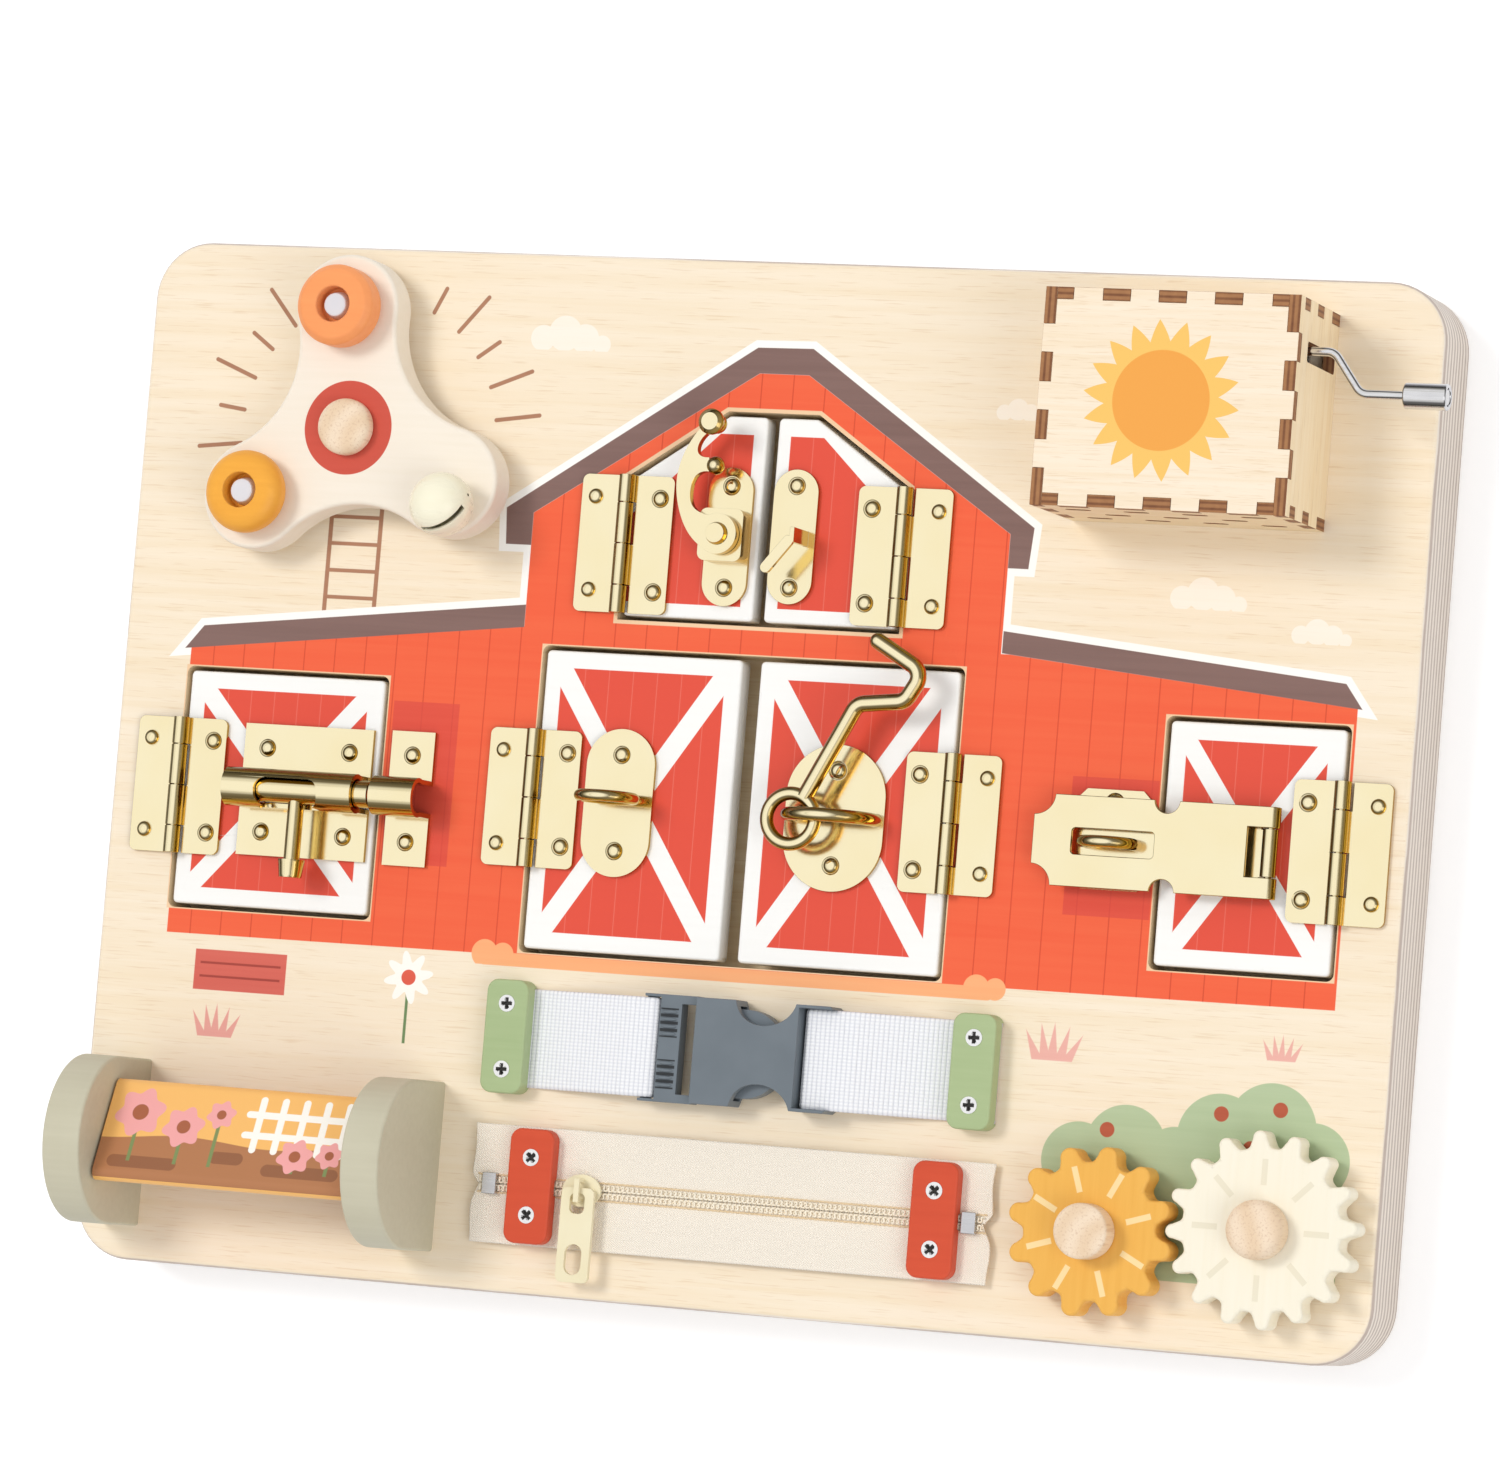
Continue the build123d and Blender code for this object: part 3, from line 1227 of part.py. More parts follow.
# ---------------------------------------------------------------- buckled strap
def rounded_block(x, y, wide, tall, h0, h1):
    """Flat block with rounded corners and softened front edges."""
    with BuildSketch(front(h0)) as s:
        with Locations((x, y)):
            RectangleRounded(wide, tall, block_corner)
    extrude(s.sketch, amount=h1 - h0)


webbing_h = 0.15
with BuildPart() as strap_blocks:
    for x in (strap_left_x, strap_right_x):
        rounded_block(x, strap_y, strap_block_wide, strap_block_tall, 0, strap_block_thick)
    fillet(strap_blocks.faces().filter_by(Axis.Z).group_by(Axis.Z)[-1].edges(), block_edge_round)
    for x in (strap_left_x, strap_right_x):
        block(x - strap_block_wide / 2, x + strap_block_wide / 2,
              strap_y - webbing_wide / 2 - 0.15, strap_y + webbing_wide / 2 + 0.15,
              0, webbing_h + webbing_thick + 0.15, Mode.SUBTRACT)
    screws_in_strap = block_screws_at[:4]
    screw_holes(screws_in_strap, 0, strap_block_thick)
    with Locations(*[(x, y, board_thick + strap_block_thick) for x, y in screws_in_strap]):
        CounterSinkHole(screw_shank + snug, screw_head + snug)
save(strap_blocks, "strap_blocks")


def webbing(points, name, screws):
    """Flat band of webbing along a path of (x, h) points, with holes for its block's screws."""
    with BuildPart() as band:
        with BuildSketch(Plane(origin=(0, strap_y - webbing_wide / 2, board_thick),
                               x_dir=(1, 0, 0), z_dir=(0, -1, 0))):
            with BuildLine():
                FilletPolyline(*points, radius=1.2)
            trace(line_width=webbing_thick)
        extrude(amount=-webbing_wide)
        screw_holes(screws, 0, strap_block_thick)
    save(band, name)


mid_h = webbing_h + webbing_thick / 2
bar_h0, bar_h1 = 2.8, 5.2
over_h = bar_h1 + body_gap + webbing_thick / 2
clip_bar_x0, clip_bar_x1 = clip_left_x, clip_left_x + 2.4
clip_slot_x = clip_bar_x1 + body_gap + webbing_thick / 2
rib_x0, rib_x1 = clip_slot_x + webbing_thick / 2 + body_gap, clip_shoulder_x - 4.4
webbing(
    [(strap_left_x - 5.4, mid_h), (strap_left_x + 9, mid_h), (clip_left_x - 4, over_h),
     (clip_slot_x, over_h), (clip_slot_x, mid_h), (clip_left_x - 7, mid_h)],
    "webbing_left", block_screws_at[:2],
)
socket_slot_x = socket_right_x - 9.2
webbing(
    [(strap_right_x + 5.4, mid_h), (strap_right_x - 9, mid_h), (socket_right_x + 3, over_h),
     (socket_slot_x, over_h), (socket_slot_x, mid_h), (socket_right_x + 6, mid_h)],
    "webbing_right", block_screws_at[2:4],
)


with BuildPart() as buckle_clip:
    clip_top = clip_h + clip_thick
    block(clip_left_x, clip_shoulder_x + 2.4, strap_y - clip_half, strap_y + clip_half,
          clip_h, clip_top)
    block(clip_bar_x0 - 1, rib_x0, strap_y - 12.9, strap_y + 12.9, clip_h - 1, clip_top + 1,
          Mode.SUBTRACT)
    block(rib_x1, rib_x1 + 3.7, strap_y - 11.4, strap_y + 11.4, clip_h - 1, clip_top + 1,
          Mode.SUBTRACT)
    for side in (-1, 1):
        block(clip_shoulder_x, clip_shoulder_x + 3, strap_y + side * 12.9 - 1.2,
              strap_y + side * 12.9 + 1.2, clip_h - 1, clip_top + 1, Mode.SUBTRACT)
    block(clip_bar_x0, clip_bar_x1, strap_y - 13.2, strap_y + 13.2, bar_h0, bar_h1)
    with BuildSketch(front(clip_h)):
        for side in (-1, 1):
            with BuildLine():
                Polyline(
                    (clip_shoulder_x + 2, strap_y + side * 7.6),
                    (clip_shoulder_x + 2, strap_y + side * prong_out), (9.0, strap_y + side * prong_out),
                )
                Spline(
                    (9.0, strap_y + side * prong_out), (14.2, strap_y + side * 10.2),
                    (clip_tip_x, strap_y + side * 6.4),
                )
                Polyline(
                    (clip_tip_x, strap_y + side * 6.4), (clip_tip_x - 1.6, strap_y + side * 5.2),
                    (10.0, strap_y + side * (prong_out - prong_wide)),
                    (clip_shoulder_x + 2, strap_y + side * 7.6),
                )
            make_face()
    extrude(amount=clip_thick)
    block(clip_shoulder_x, 13.0, strap_y - 1.8, strap_y + 1.8, clip_h, clip_top)
save(buckle_clip, "buckle_clip")

with BuildPart() as buckle_socket:
    socket_top = socket_h + socket_thick
    with BuildSketch(front(socket_h)) as outline:
        with BuildLine():
            for side in (1, -1):
                Polyline(
                    (socket_left_x, strap_y), (socket_left_x, strap_y + side * socket_half),
                    (7.2, strap_y + side * socket_half), (7.8, strap_y + side * 11.6),
                )
                Spline(
                    (7.8, strap_y + side * 11.6), (10.6, strap_y + side * 8.4),
                    (socket_waist_x, strap_y + side * socket_waist_half),
                    (socket_flare_x, strap_y + side * socket_half),
                )
                Polyline(
                    (socket_flare_x, strap_y + side * socket_half),
                    (socket_right_x - 2, strap_y + side * socket_half),
                    (socket_right_x, strap_y + side * (socket_half - 2)), (socket_right_x, strap_y),
                )
        make_face()
    extrude(amount=socket_thick)
    # the mouth that takes the clip, open at both windows
    block(socket_left_x - 1, 20.0, strap_y - socket_half + socket_wall,
          strap_y + socket_half - socket_wall, clip_h - body_gap, clip_top + body_gap,
          Mode.SUBTRACT)
    # the end the webbing wraps round: a slot, then a bar between two low cheeks
    slot_half = webbing_wide / 2 + 0.2
    block(socket_slot_x - webbing_thick / 2 - body_gap, socket_slot_x + webbing_thick / 2 + body_gap,
          strap_y - slot_half, strap_y + slot_half, socket_h - 1, socket_top + 1, Mode.SUBTRACT)
    block(socket_slot_x, socket_right_x + 1, strap_y - slot_half, strap_y + slot_half, bar_h1,
          socket_top + 1, Mode.SUBTRACT)
    block(socket_slot_x, socket_right_x + 1, strap_y - slot_half, strap_y + slot_half,
          socket_h - 1, bar_h0, Mode.SUBTRACT)
save(buckle_socket, "buckle_socket")

# ---------------------------------------------------------------- zipper
tape_top = tape_h + tape_thick
coil_top = tape_top + coil_tall
with BuildPart() as zipper_blocks:
    for x in (zip_block_left_x, zip_block_right_x):
        rounded_block(x, zip_y, zip_block_wide, zip_block_tall, 0, tape_h - 0.05)
        rounded_block(x, zip_y, zip_block_wide, zip_block_tall, tape_top + 0.05, zip_block_thick)
        block(x - zip_block_wide / 2, x + zip_block_wide / 2, zip_y - 2.0, zip_y + 2.0,
              tape_top, coil_top + 0.2, Mode.SUBTRACT)
    fillet(zipper_blocks.faces().filter_by(Axis.Z).group_by(Axis.Z)[-1].edges(), block_edge_round)
    screws_in_zip = block_screws_at[4:]
    screw_holes(screws_in_zip, 0, zip_block_thick)
    with Locations(*[(x, y, board_thick + zip_block_thick) for x, y in screws_in_zip]):
        CounterSinkHole(screw_shank + snug, screw_head + snug)
save(zipper_blocks, "zipper_blocks")

with BuildPart() as zipper_tapes:
    for side in (-1, 1):
        y0, y1 = sorted((zip_y + side * zip_slit / 2, zip_y + side * zip_half))
        block(zip_left_x, zip_right_x, y0, y1, tape_h, tape_top)
        y0, y1 = sorted((zip_y + side * zip_slit / 2, zip_y + side * (zip_slit / 2 + coil_wide)))
        block(coil_left_x, coil_right_x, y0, y1, tape_top, coil_top)
    screw_holes(screws_in_zip, 0, zip_block_thick)
save(zipper_tapes, "zipper_tapes")

with BuildPart() as zipper_end_stops:
    for x in (stop_left_x, stop_right_x):
        block(x - stop_long / 2, x + stop_long / 2, zip_y - stop_wide / 2, zip_y + stop_wide / 2,
              tape_top, coil_top + stop_tall)
        block(x - stop_long / 2, x + stop_long / 2, zip_y - 1.75, zip_y + 1.75, tape_top - 1,
              coil_top + 0.05, Mode.SUBTRACT)
save(zipper_end_stops, "zipper_end_stops")

slider_low = tape_h - slider_gap - slider_plate
slider_high = coil_top + slider_gap
bridge_top = slider_high + slider_plate + 3.6
pull_axis_h = slider_high + slider_plate + slider_gap + 1.2
with BuildPart() as zipper_slider:
    with BuildSketch(front(slider_low)):
        with Locations((slider_x, zip_y)):
            Ellipse(slider_long / 2, slider_wide / 2)
    extrude(amount=slider_plate)
    with BuildSketch(front(slider_high)):
        with Locations((slider_x, zip_y)):
            Ellipse(slider_long / 2, slider_wide / 2)
    extrude(amount=slider_plate)
    block(slider_x - 2.5, slider_x + 2.5, zip_y - slider_post / 2, zip_y + slider_post / 2,
          slider_low, slider_high + slider_plate)
    # the bridge that holds the pull
    block(slider_x - bridge_wide / 2, slider_x + bridge_wide / 2, zip_y - bridge_half,
          zip_y + bridge_half, slider_high + slider_plate / 2, bridge_top)
    block(slider_x - bridge_wide / 2, slider_x + bridge_wide / 2,
          zip_y - bridge_half + bridge_bar, zip_y + bridge_half - bridge_bar,
          slider_high + slider_plate, bridge_top - bridge_bar, Mode.SUBTRACT)
save(zipper_slider, "zipper_slider")

with BuildPart() as zipper_pull:
    with BuildSketch(front(pull_axis_h - pull_thick / 2)):
        with Locations((slider_x, zip_y + pull_bar - pull_long / 2)):
            RectangleRounded(pull_wide, pull_long, 1.6)
        with Locations((slider_x, zip_y - pull_bar - 2.6)):
            RectangleRounded(4.0, 5.2, 1.4, mode=Mode.SUBTRACT)
        with Locations((slider_x, zip_y + pull_bar - pull_long + 5.8)):
            SlotOverall(7.8, 4.6, rotation=90, mode=Mode.SUBTRACT)
    extrude(amount=pull_thick)
save(zipper_pull, "zipper_pull")


# ---------------------------------------------------------------- toy gears
def toy_gear(x, y, teeth, outer, tip_round, root_half, phase):
    """Thick gear with rounded teeth around a plain bore."""
    root = outer - gear_root_deep
    with BuildPart() as gear:
        with BuildSketch(Plane(origin=(x, y, board_thick + gear_h), z_dir=(0, 0, 1))):
            Circle(root)
            for k in range(teeth):
                a = phase + 360 * k / teeth
                Polygon(
                    turned(root - 1.5, -root_half, a), turned(outer - tip_round, -tip_round, a),
                    turned(outer - tip_round, tip_round, a), turned(root - 1.5, root_half, a),
                    align=None,
                )
                with Locations(turned(outer - tip_round, 0, a)):
                    Circle(tip_round)
            Circle(gear_bore + running, mode=Mode.SUBTRACT)
        extrude(amount=gear_thick)
    return gear


gear_line = math.degrees(math.atan2(cream_y - orange_y, cream_x - orange_x))
save(toy_gear(orange_x, orange_y, orange_teeth, orange_outer, orange_tip, orange_root,
              gear_line + 180 / orange_teeth), "orange_gear")
save(toy_gear(cream_x, cream_y, cream_teeth, cream_outer, cream_tip, cream_root,
              gear_line + 180), "cream_gear")
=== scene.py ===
import json
import math
from functools import reduce

import bmesh
import bpy
import numpy as np
from mathutils import Matrix, Vector


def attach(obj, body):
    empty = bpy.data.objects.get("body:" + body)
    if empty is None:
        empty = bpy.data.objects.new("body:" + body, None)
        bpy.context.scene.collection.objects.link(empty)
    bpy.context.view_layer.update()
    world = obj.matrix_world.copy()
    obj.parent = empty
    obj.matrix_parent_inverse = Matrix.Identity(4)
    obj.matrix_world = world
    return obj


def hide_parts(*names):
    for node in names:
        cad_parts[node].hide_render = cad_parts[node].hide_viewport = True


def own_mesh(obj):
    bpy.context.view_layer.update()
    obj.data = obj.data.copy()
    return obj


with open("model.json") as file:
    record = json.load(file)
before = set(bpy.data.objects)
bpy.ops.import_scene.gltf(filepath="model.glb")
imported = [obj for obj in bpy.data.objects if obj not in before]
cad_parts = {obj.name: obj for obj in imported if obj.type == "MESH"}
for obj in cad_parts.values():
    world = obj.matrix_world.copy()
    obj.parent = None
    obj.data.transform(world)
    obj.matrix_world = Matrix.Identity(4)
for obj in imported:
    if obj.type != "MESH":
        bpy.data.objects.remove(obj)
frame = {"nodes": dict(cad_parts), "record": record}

nodes = frame["nodes"]
body_of_node = {n: b for b, ns in frame["record"]["behaviour"]["bodies"].items() for n in ns}
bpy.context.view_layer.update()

# Places and lengths are in mm unless a line says otherwise: x to the right, y up the board, z out.
MM, METRE = 0.001, 1000.0
TURN = 2 * math.pi
FACE = 24.0                             # the board's front face, above its back
SPINNER = (-110.8, 84.8)                # the middles of round things, as x and y
MUSTARD_GEAR = (104.7, -105.4)
CREAM_GEAR = (148.3, -101.6)
BOX_SUN = (114.1, 97.6)
ROLLER_Y, ROLLER_Z = -102.8, FACE + 18.3    # the roller's axle
STRAP_Y, ZIP_Y = -68.3, -105.8              # the middle lines of the strap and of the zipper
GRIP_LEFT, GRIP_RIGHT = -13.7, -8.9     # the ends of the ribs that a fingertip grips on the clip
GRIP_PITCH = 1.85
RIB, YARN = 1.25, 0.9                   # the webbing's ribs along it and its yarns across it
ZIGZAG = 2.4                            # the width of one turn of the zip tape's twill

# ------------------------------------------------------------------ camera, placed in metres
camera = bpy.data.objects.new("camera", bpy.data.cameras.new("camera"))
bpy.context.scene.collection.objects.link(camera)
camera.matrix_world = Matrix((
    (0.93496, -0.05454, 0.35054, 0.62406),
    (0.08135, 0.99474, -0.06222, -0.09717),
    (-0.34530, 0.08669, 0.93448, 1.68384),
    (0.0, 0.0, 0.0, 1.0)))
camera.data.lens = 168.33
camera.data.sensor_width = 36.0
camera.data.clip_end = 50.0
bpy.context.scene.camera = camera
bpy.context.scene.view_settings.view_transform = "Standard"


# ------------------------------------------------------------------ node expressions
class Value:
    """A node's output, on which Python's operators add Math nodes."""

    def __init__(self, tree, socket):
        self.tree, self.socket = tree, socket

    def __add__(self, other):
        return self.tree.maths("ADD", self, other)

    def __radd__(self, other):
        return self.tree.maths("ADD", other, self)

    def __sub__(self, other):
        return self.tree.maths("SUBTRACT", self, other)

    def __rsub__(self, other):
        return self.tree.maths("SUBTRACT", other, self)

    def __mul__(self, other):
        return self.tree.maths("MULTIPLY", self, other)

    def __rmul__(self, other):
        return self.tree.maths("MULTIPLY", other, self)

    def __truediv__(self, other):
        return self.tree.maths("DIVIDE", self, other)

    def __rtruediv__(self, other):
        return self.tree.maths("DIVIDE", other, self)

    def __pow__(self, other):
        return self.tree.maths("POWER", self, other)

    def __rpow__(self, other):
        return self.tree.maths("POWER", other, self)

    def __neg__(self):
        return self.tree.maths("MULTIPLY", self, -1.0)

    def __abs__(self):
        return self.tree.maths("ABSOLUTE", self)

    def least(self, other):
        return self.tree.maths("MINIMUM", self, other)

    def most(self, other):
        return self.tree.maths("MAXIMUM", self, other)

    def fraction(self):
        return self.tree.maths("FRACT", self)

    def sine(self):
        return self.tree.maths("SINE", self)

    def over(self, edge, soft):
        """1 where the value is over the edge, 0 where it is under it, with a short ramp."""
        return self.tree.maths("MULTIPLY_ADD", self, 1.0 / soft, 0.5 - edge / soft, clamp=True)


def distance(a, b):
    """The root of a squared plus b squared."""
    return (a * a + b * b) ** 0.5


def union(shapes):
    """How far inside any of several shapes a point is: the greatest of their distances."""
    return reduce(Value.most, shapes)


def nearest(value, places):
    """How far a value is from the nearest of several places."""
    return reduce(Value.least, [abs(value - place) for place in places])


def tint(code):
    """Linear colour from a six-figure sRGB code."""
    c = np.array([int(code[i:i + 2], 16) for i in (0, 2, 4)]) / 255.0
    lin = np.where(c <= 0.04045, c / 12.92, ((c + 0.055) / 1.055) ** 2.4)
    return (*(float(v) for v in lin), 1.0)


def grey(level):
    """Linear grey from black at 0 to white at 1."""
    return (level, level, level, 1.0)


class Nodes:
    """Adds nodes to the tree of a material or of the world."""

    def __init__(self, owner):
        owner.use_nodes = True
        self.tree = owner.node_tree
        self.tree.nodes.clear()

    def feed(self, socket, value):
        """Links a node's output to a socket, or sets the socket to a constant."""
        if isinstance(value, Value):
            self.tree.links.new(value.socket, socket)
        else:
            socket.default_value = value

    def node(self, kind, settings=None, inputs=None, out=0):
        """Any node: its type, its settings, the values or links of its sockets, and which output."""
        made = self.tree.nodes.new(kind)
        for key, value in (settings or {}).items():
            if key == "stops":
                elements = made.color_ramp.elements
                for position, _ in value[2:]:
                    elements.new(position)
                for element, (position, colour) in zip(elements, value):
                    element.position, element.color = position, colour
            else:
                setattr(made, key, value)
        for key, value in (inputs or {}).items():
            self.feed(made.inputs[key], value)
        return Value(self, made.outputs[out])

    def end(self, kind, surface):
        """The tree's output node, fed by its last shader."""
        self.feed(self.tree.nodes.new(kind).inputs["Surface"], surface)

    def maths(self, operation, *values, clamp=False):
        """A Math node on values or numbers."""
        return self.node("ShaderNodeMath", {"operation": operation, "use_clamp": clamp},
                         dict(enumerate(values)))

    def split(self, vector):
        """The three parts of a vector."""
        parts = self.node("ShaderNodeSeparateXYZ", inputs={0: vector}).socket.node.outputs
        return [Value(self, part) for part in parts]

    def mix(self, factor, a, b, blend="MIX"):
        """Colour a where the factor is 0 and colour b where it is 1."""
        return self.node("ShaderNodeMix", {"data_type": "RGBA", "blend_type": blend},
                         {0: factor, 6: a, 7: b}, out=2)


class Paint(Nodes):
    """A material with one Principled shader, built from node expressions in mm."""

    def __init__(self, name, **constants):
        self.material = bpy.data.materials.new(name)
        super().__init__(self.material)
        shader = self.node("ShaderNodeBsdfPrincipled")
        self.shader = shader.socket.node
        self.end("ShaderNodeOutputMaterial", shader)
        self.set(**constants)

    def set(self, **sockets):
        """Feeds the shader's sockets, named with _ for spaces, and gives the material."""
        for name, value in sockets.items():
            self.feed(self.shader.inputs[name.replace("_", " ")], value)
        return self.material

    def place(self):
        """The point's x, y and z in mm."""
        return [part * METRE for part in self.split(self.node("ShaderNodeTexCoord", out="Object"))]

    def normal(self):
        """The three parts of the surface's normal."""
        return self.split(self.node("ShaderNodeTexCoord", out="Normal"))

    def noise(self, x_rate, y_rate, z_rate, detail, rough=0.55, warp=0.0):
        """Cloudy noise from 0 to 1 that changes at so many features per mm along each axis."""
        vector = self.node("ShaderNodeMapping", inputs={
            "Vector": self.node("ShaderNodeTexCoord", out="Object"),
            "Scale": (x_rate * METRE, y_rate * METRE, z_rate * METRE)})
        return self.node("ShaderNodeTexNoise", inputs={
            "Vector": vector, "Scale": 1.0, "Detail": detail, "Roughness": rough,
            "Distortion": warp})

    def bump(self, height, rise):
        """A normal from a height of 0 to 1 that stands for so many mm."""
        return self.node("ShaderNodeBump", inputs={
            "Height": height, "Distance": rise * MM, "Strength": 1.0})


class Print:
    """Flat colours laid one over another, each where a shape is: how far inside it the point is."""

    def __init__(self, paint, x, y, ground, soft, grain=None):
        self.paint, self.x, self.y = paint, x, y
        self.colour, self.soft, self.grain = ground, soft, grain

    def cover(self, mask, ink):
        """Lays an ink as strongly as a mask of 0 to 1 says."""
        self.colour = self.paint.mix(mask, self.colour, ink)

    def lay(self, shape, code, strength=1.0):
        """Prints a colour where a shape is, and lets a little of the grain show."""
        ink = tint(code)
        if self.grain:
            ink = self.paint.mix(self.grain, ink, ink, "MULTIPLY")
        mask = shape.over(0.0, self.soft)
        self.cover(mask * strength if strength < 1.0 else mask, ink)

    def far(self, cx, cy):
        """How far the point is from a middle."""
        return distance(self.x - cx, self.y - cy)

    def turn(self, cx, cy):
        """The point's angle round a middle, in radians."""
        return self.paint.maths("ARCTAN2", self.y - cy, self.x - cx)

    def disc(self, cx, cy, r):
        """A circle: its radius less the distance to its middle."""
        return r - self.far(cx, cy)

    def flower(self, cx, cy, r, petals, depth):
        """A circle whose radius swells by a sine of the angle, once for each petal."""
        return r + (self.turn(cx, cy) * petals).sine() * depth - self.far(cx, cy)

    def rectangle(self, x0, x1, y0, y1):
        """The least distance to the left, right, lower and upper side."""
        x, y = self.x, self.y
        return (x - x0).least(x1 - x).least((y - y0).least(y1 - y))

    def convex(self, corners):
        """The least distance to the sides of a convex outline, whose corners go round to the left."""
        sides = []
        for (x0, y0), (x1, y1) in zip(corners, corners[1:] + corners[:1]):
            long = math.hypot(x1 - x0, y1 - y0)
            a, b = -(y1 - y0) / long, (x1 - x0) / long
            rest = self.paint.maths("MULTIPLY_ADD", self.y, b, -(a * x0 + b * y0))
            sides.append(self.paint.maths("MULTIPLY_ADD", self.x, a, rest))
        return reduce(Value.least, sides)

    def stroke(self, p, q, half):
        """A round-ended line from p to q: half its width less the distance to the nearest point."""
        x, y = self.x - p[0], self.y - p[1]
        dx, dy = q[0] - p[0], q[1] - p[1]
        share = self.paint.maths("MULTIPLY_ADD", x * dx + y * dy, 1.0 / (dx * dx + dy * dy), 0.0,
                                 clamp=True)
        return half - distance(x - share * dx, y - share * dy)


# ------------------------------------------------------------------ floor and light
def studio_floor():
    """A large square just under the board, pale grey, which glows a little to the camera alone."""
    paint = Paint("studio_floor", Roughness=0.9, Specular_IOR_Level=0.0, Base_Color=grey(0.88),
                  Emission_Strength=1.0)
    seen = paint.node("ShaderNodeLightPath", out="Is Camera Ray")
    half, level = 6.0, -0.0003      # metres
    mesh = bpy.data.meshes.new("studio_floor")
    mesh.from_pydata([(-half, -half, level), (half, -half, level), (half, half, level),
                      (-half, half, level)], [], [(0, 1, 2, 3)])
    mesh.materials.append(paint.set(Emission_Color=paint.mix(seen, grey(0.0), grey(0.30))))
    sheet = bpy.data.objects.new("studio_floor", mesh)
    bpy.context.scene.collection.objects.link(sheet)


def studio_sky():
    """What bright metal mirrors: light overhead with one grey strip, dark olive at eye level, and
    a middling grey below."""
    world = bpy.data.worlds.new("studio_sky")
    bpy.context.scene.world = world
    sky = Nodes(world)
    height = sky.split(sky.node("ShaderNodeTexCoord", out="Generated"))[2]
    levels = ((0.0, 0.42), (0.40, 0.34), (0.49, 0.12), (0.54, 0.07), (0.59, 0.38), (0.66, 0.56),
              (0.74, 0.66), (0.84, 0.95), (0.88, 0.70), (0.91, 0.97), (1.0, 0.97))
    stops = [(place, (v, v * (0.92 + 0.08 * v), v * (0.70 + 0.30 * v), 1.0)) for place, v in levels]
    band = sky.node("ShaderNodeValToRGB", {"stops": stops},
                    {0: sky.maths("MULTIPLY_ADD", height, 0.5, 0.5)})
    mirrored = sky.mix(sky.node("ShaderNodeLightPath", out="Is Glossy Ray"),
                       (0.62, 0.62, 0.63, 1.0), band)
    seen = sky.mix(sky.node("ShaderNodeLightPath", out="Is Camera Ray"), mirrored, grey(1.0))
    sky.end("ShaderNodeOutputWorld", sky.node("ShaderNodeBackground", inputs={0: seen}))


def soft_light(name, place, size, power, mirrored):
    """A square softbox at a place in metres, turned to the middle; metal shows it if mirrored."""
    lamp = bpy.data.lights.new(name, "AREA")
    lamp.shape, lamp.size, lamp.energy = "SQUARE", size, power
    holder = bpy.data.objects.new(name, lamp)
    bpy.context.scene.collection.objects.link(holder)
    aim = (-Vector(place)).to_track_quat("-Z", "Y").to_matrix().to_4x4()
    holder.matrix_world = Matrix.Translation(Vector(place)) @ aim
    holder.visible_glossy = mirrored


studio_floor()
studio_sky()
soft_light("key_light", (-1.9, 1.2, 4.2), 1.3, 80.0, mirrored=False)
soft_light("fill_light", (2.6, -1.0, 2.6), 2.0, 32.0, mirrored=True)


# ------------------------------------------------------------------ shapes
def shown(name, mesh, body, paint, slot, *stood_for):
    """Puts a finished mesh in the scene, riding on its body."""
    piece = bpy.data.objects.new(name, mesh)
    bpy.context.scene.collection.objects.link(piece)
    mesh.materials.clear()
    mesh.materials.append(paint)
    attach(piece, body)
    if stood_for:
        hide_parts(*stood_for)
    return piece


def softened(node, width, paint, slot, name, segments=2, angle=32.0):
    """A copy of a solid with the edges sharper than an angle rounded off by a width."""
    mesh = nodes[node].data.copy()
    mesh.name = name
    work = bmesh.new()
    work.from_mesh(mesh)
    bmesh.ops.remove_doubles(work, verts=work.verts, dist=0.003 * MM)
    bmesh.ops.dissolve_limit(work, angle_limit=math.radians(0.4), verts=work.verts,
                             edges=work.edges)
    work.to_mesh(mesh)
    work.free()
    mesh.shade_smooth()
    mesh.set_sharp_from_angle(angle=math.radians(angle))
    piece = shown(name, mesh, body_of_node[node], paint, slot, node)
    if width:
        bevel = piece.modifiers.new("round", "BEVEL")
        bevel.width, bevel.segments = width * MM, segments
        bevel.limit_method, bevel.angle_limit = "ANGLE", math.radians(angle)
        bevel.use_clamp_overlap = True
    flat = piece.modifiers.new("flat_faces", "WEIGHTED_NORMAL")
    flat.mode, flat.weight, flat.keep_sharp = "FACE_AREA", 50, not width


def thickened(piece, thickness):
    """Gives a sheet its thickness, half to each side."""
    wall = piece.modifiers.new("thickness", "SOLIDIFY")
    wall.thickness, wall.offset = thickness * MM, 0.0


def grid_mesh(name, points, close_u=False, close_v=False, sizes=None):
    """Quads between the points of a (rows, columns, 3) grid, with a UV map in mm."""
    rows, columns = points.shape[:2]
    index = np.arange(rows * columns).reshape(rows, columns)
    if close_u:
        index = np.vstack([index, index[:1]])
    if close_v:
        index = np.hstack([index, index[:, :1]])
    faces = np.stack([index[:-1, :-1], index[1:, :-1], index[1:, 1:], index[:-1, 1:]], -1)
    mesh = bpy.data.meshes.new(name)
    mesh.from_pydata((points.reshape(-1, 3) * MM).tolist(), [], faces.reshape(-1, 4).tolist())
    if sizes is not None:
        flat = sizes.reshape(-1, 2)[faces.reshape(-1, 4)].reshape(-1, 2)
        mesh.uv_layers.new(name="cloth").data.foreach_set("uv", flat.astype(np.float32).ravel())
    mesh.shade_smooth()
    return mesh


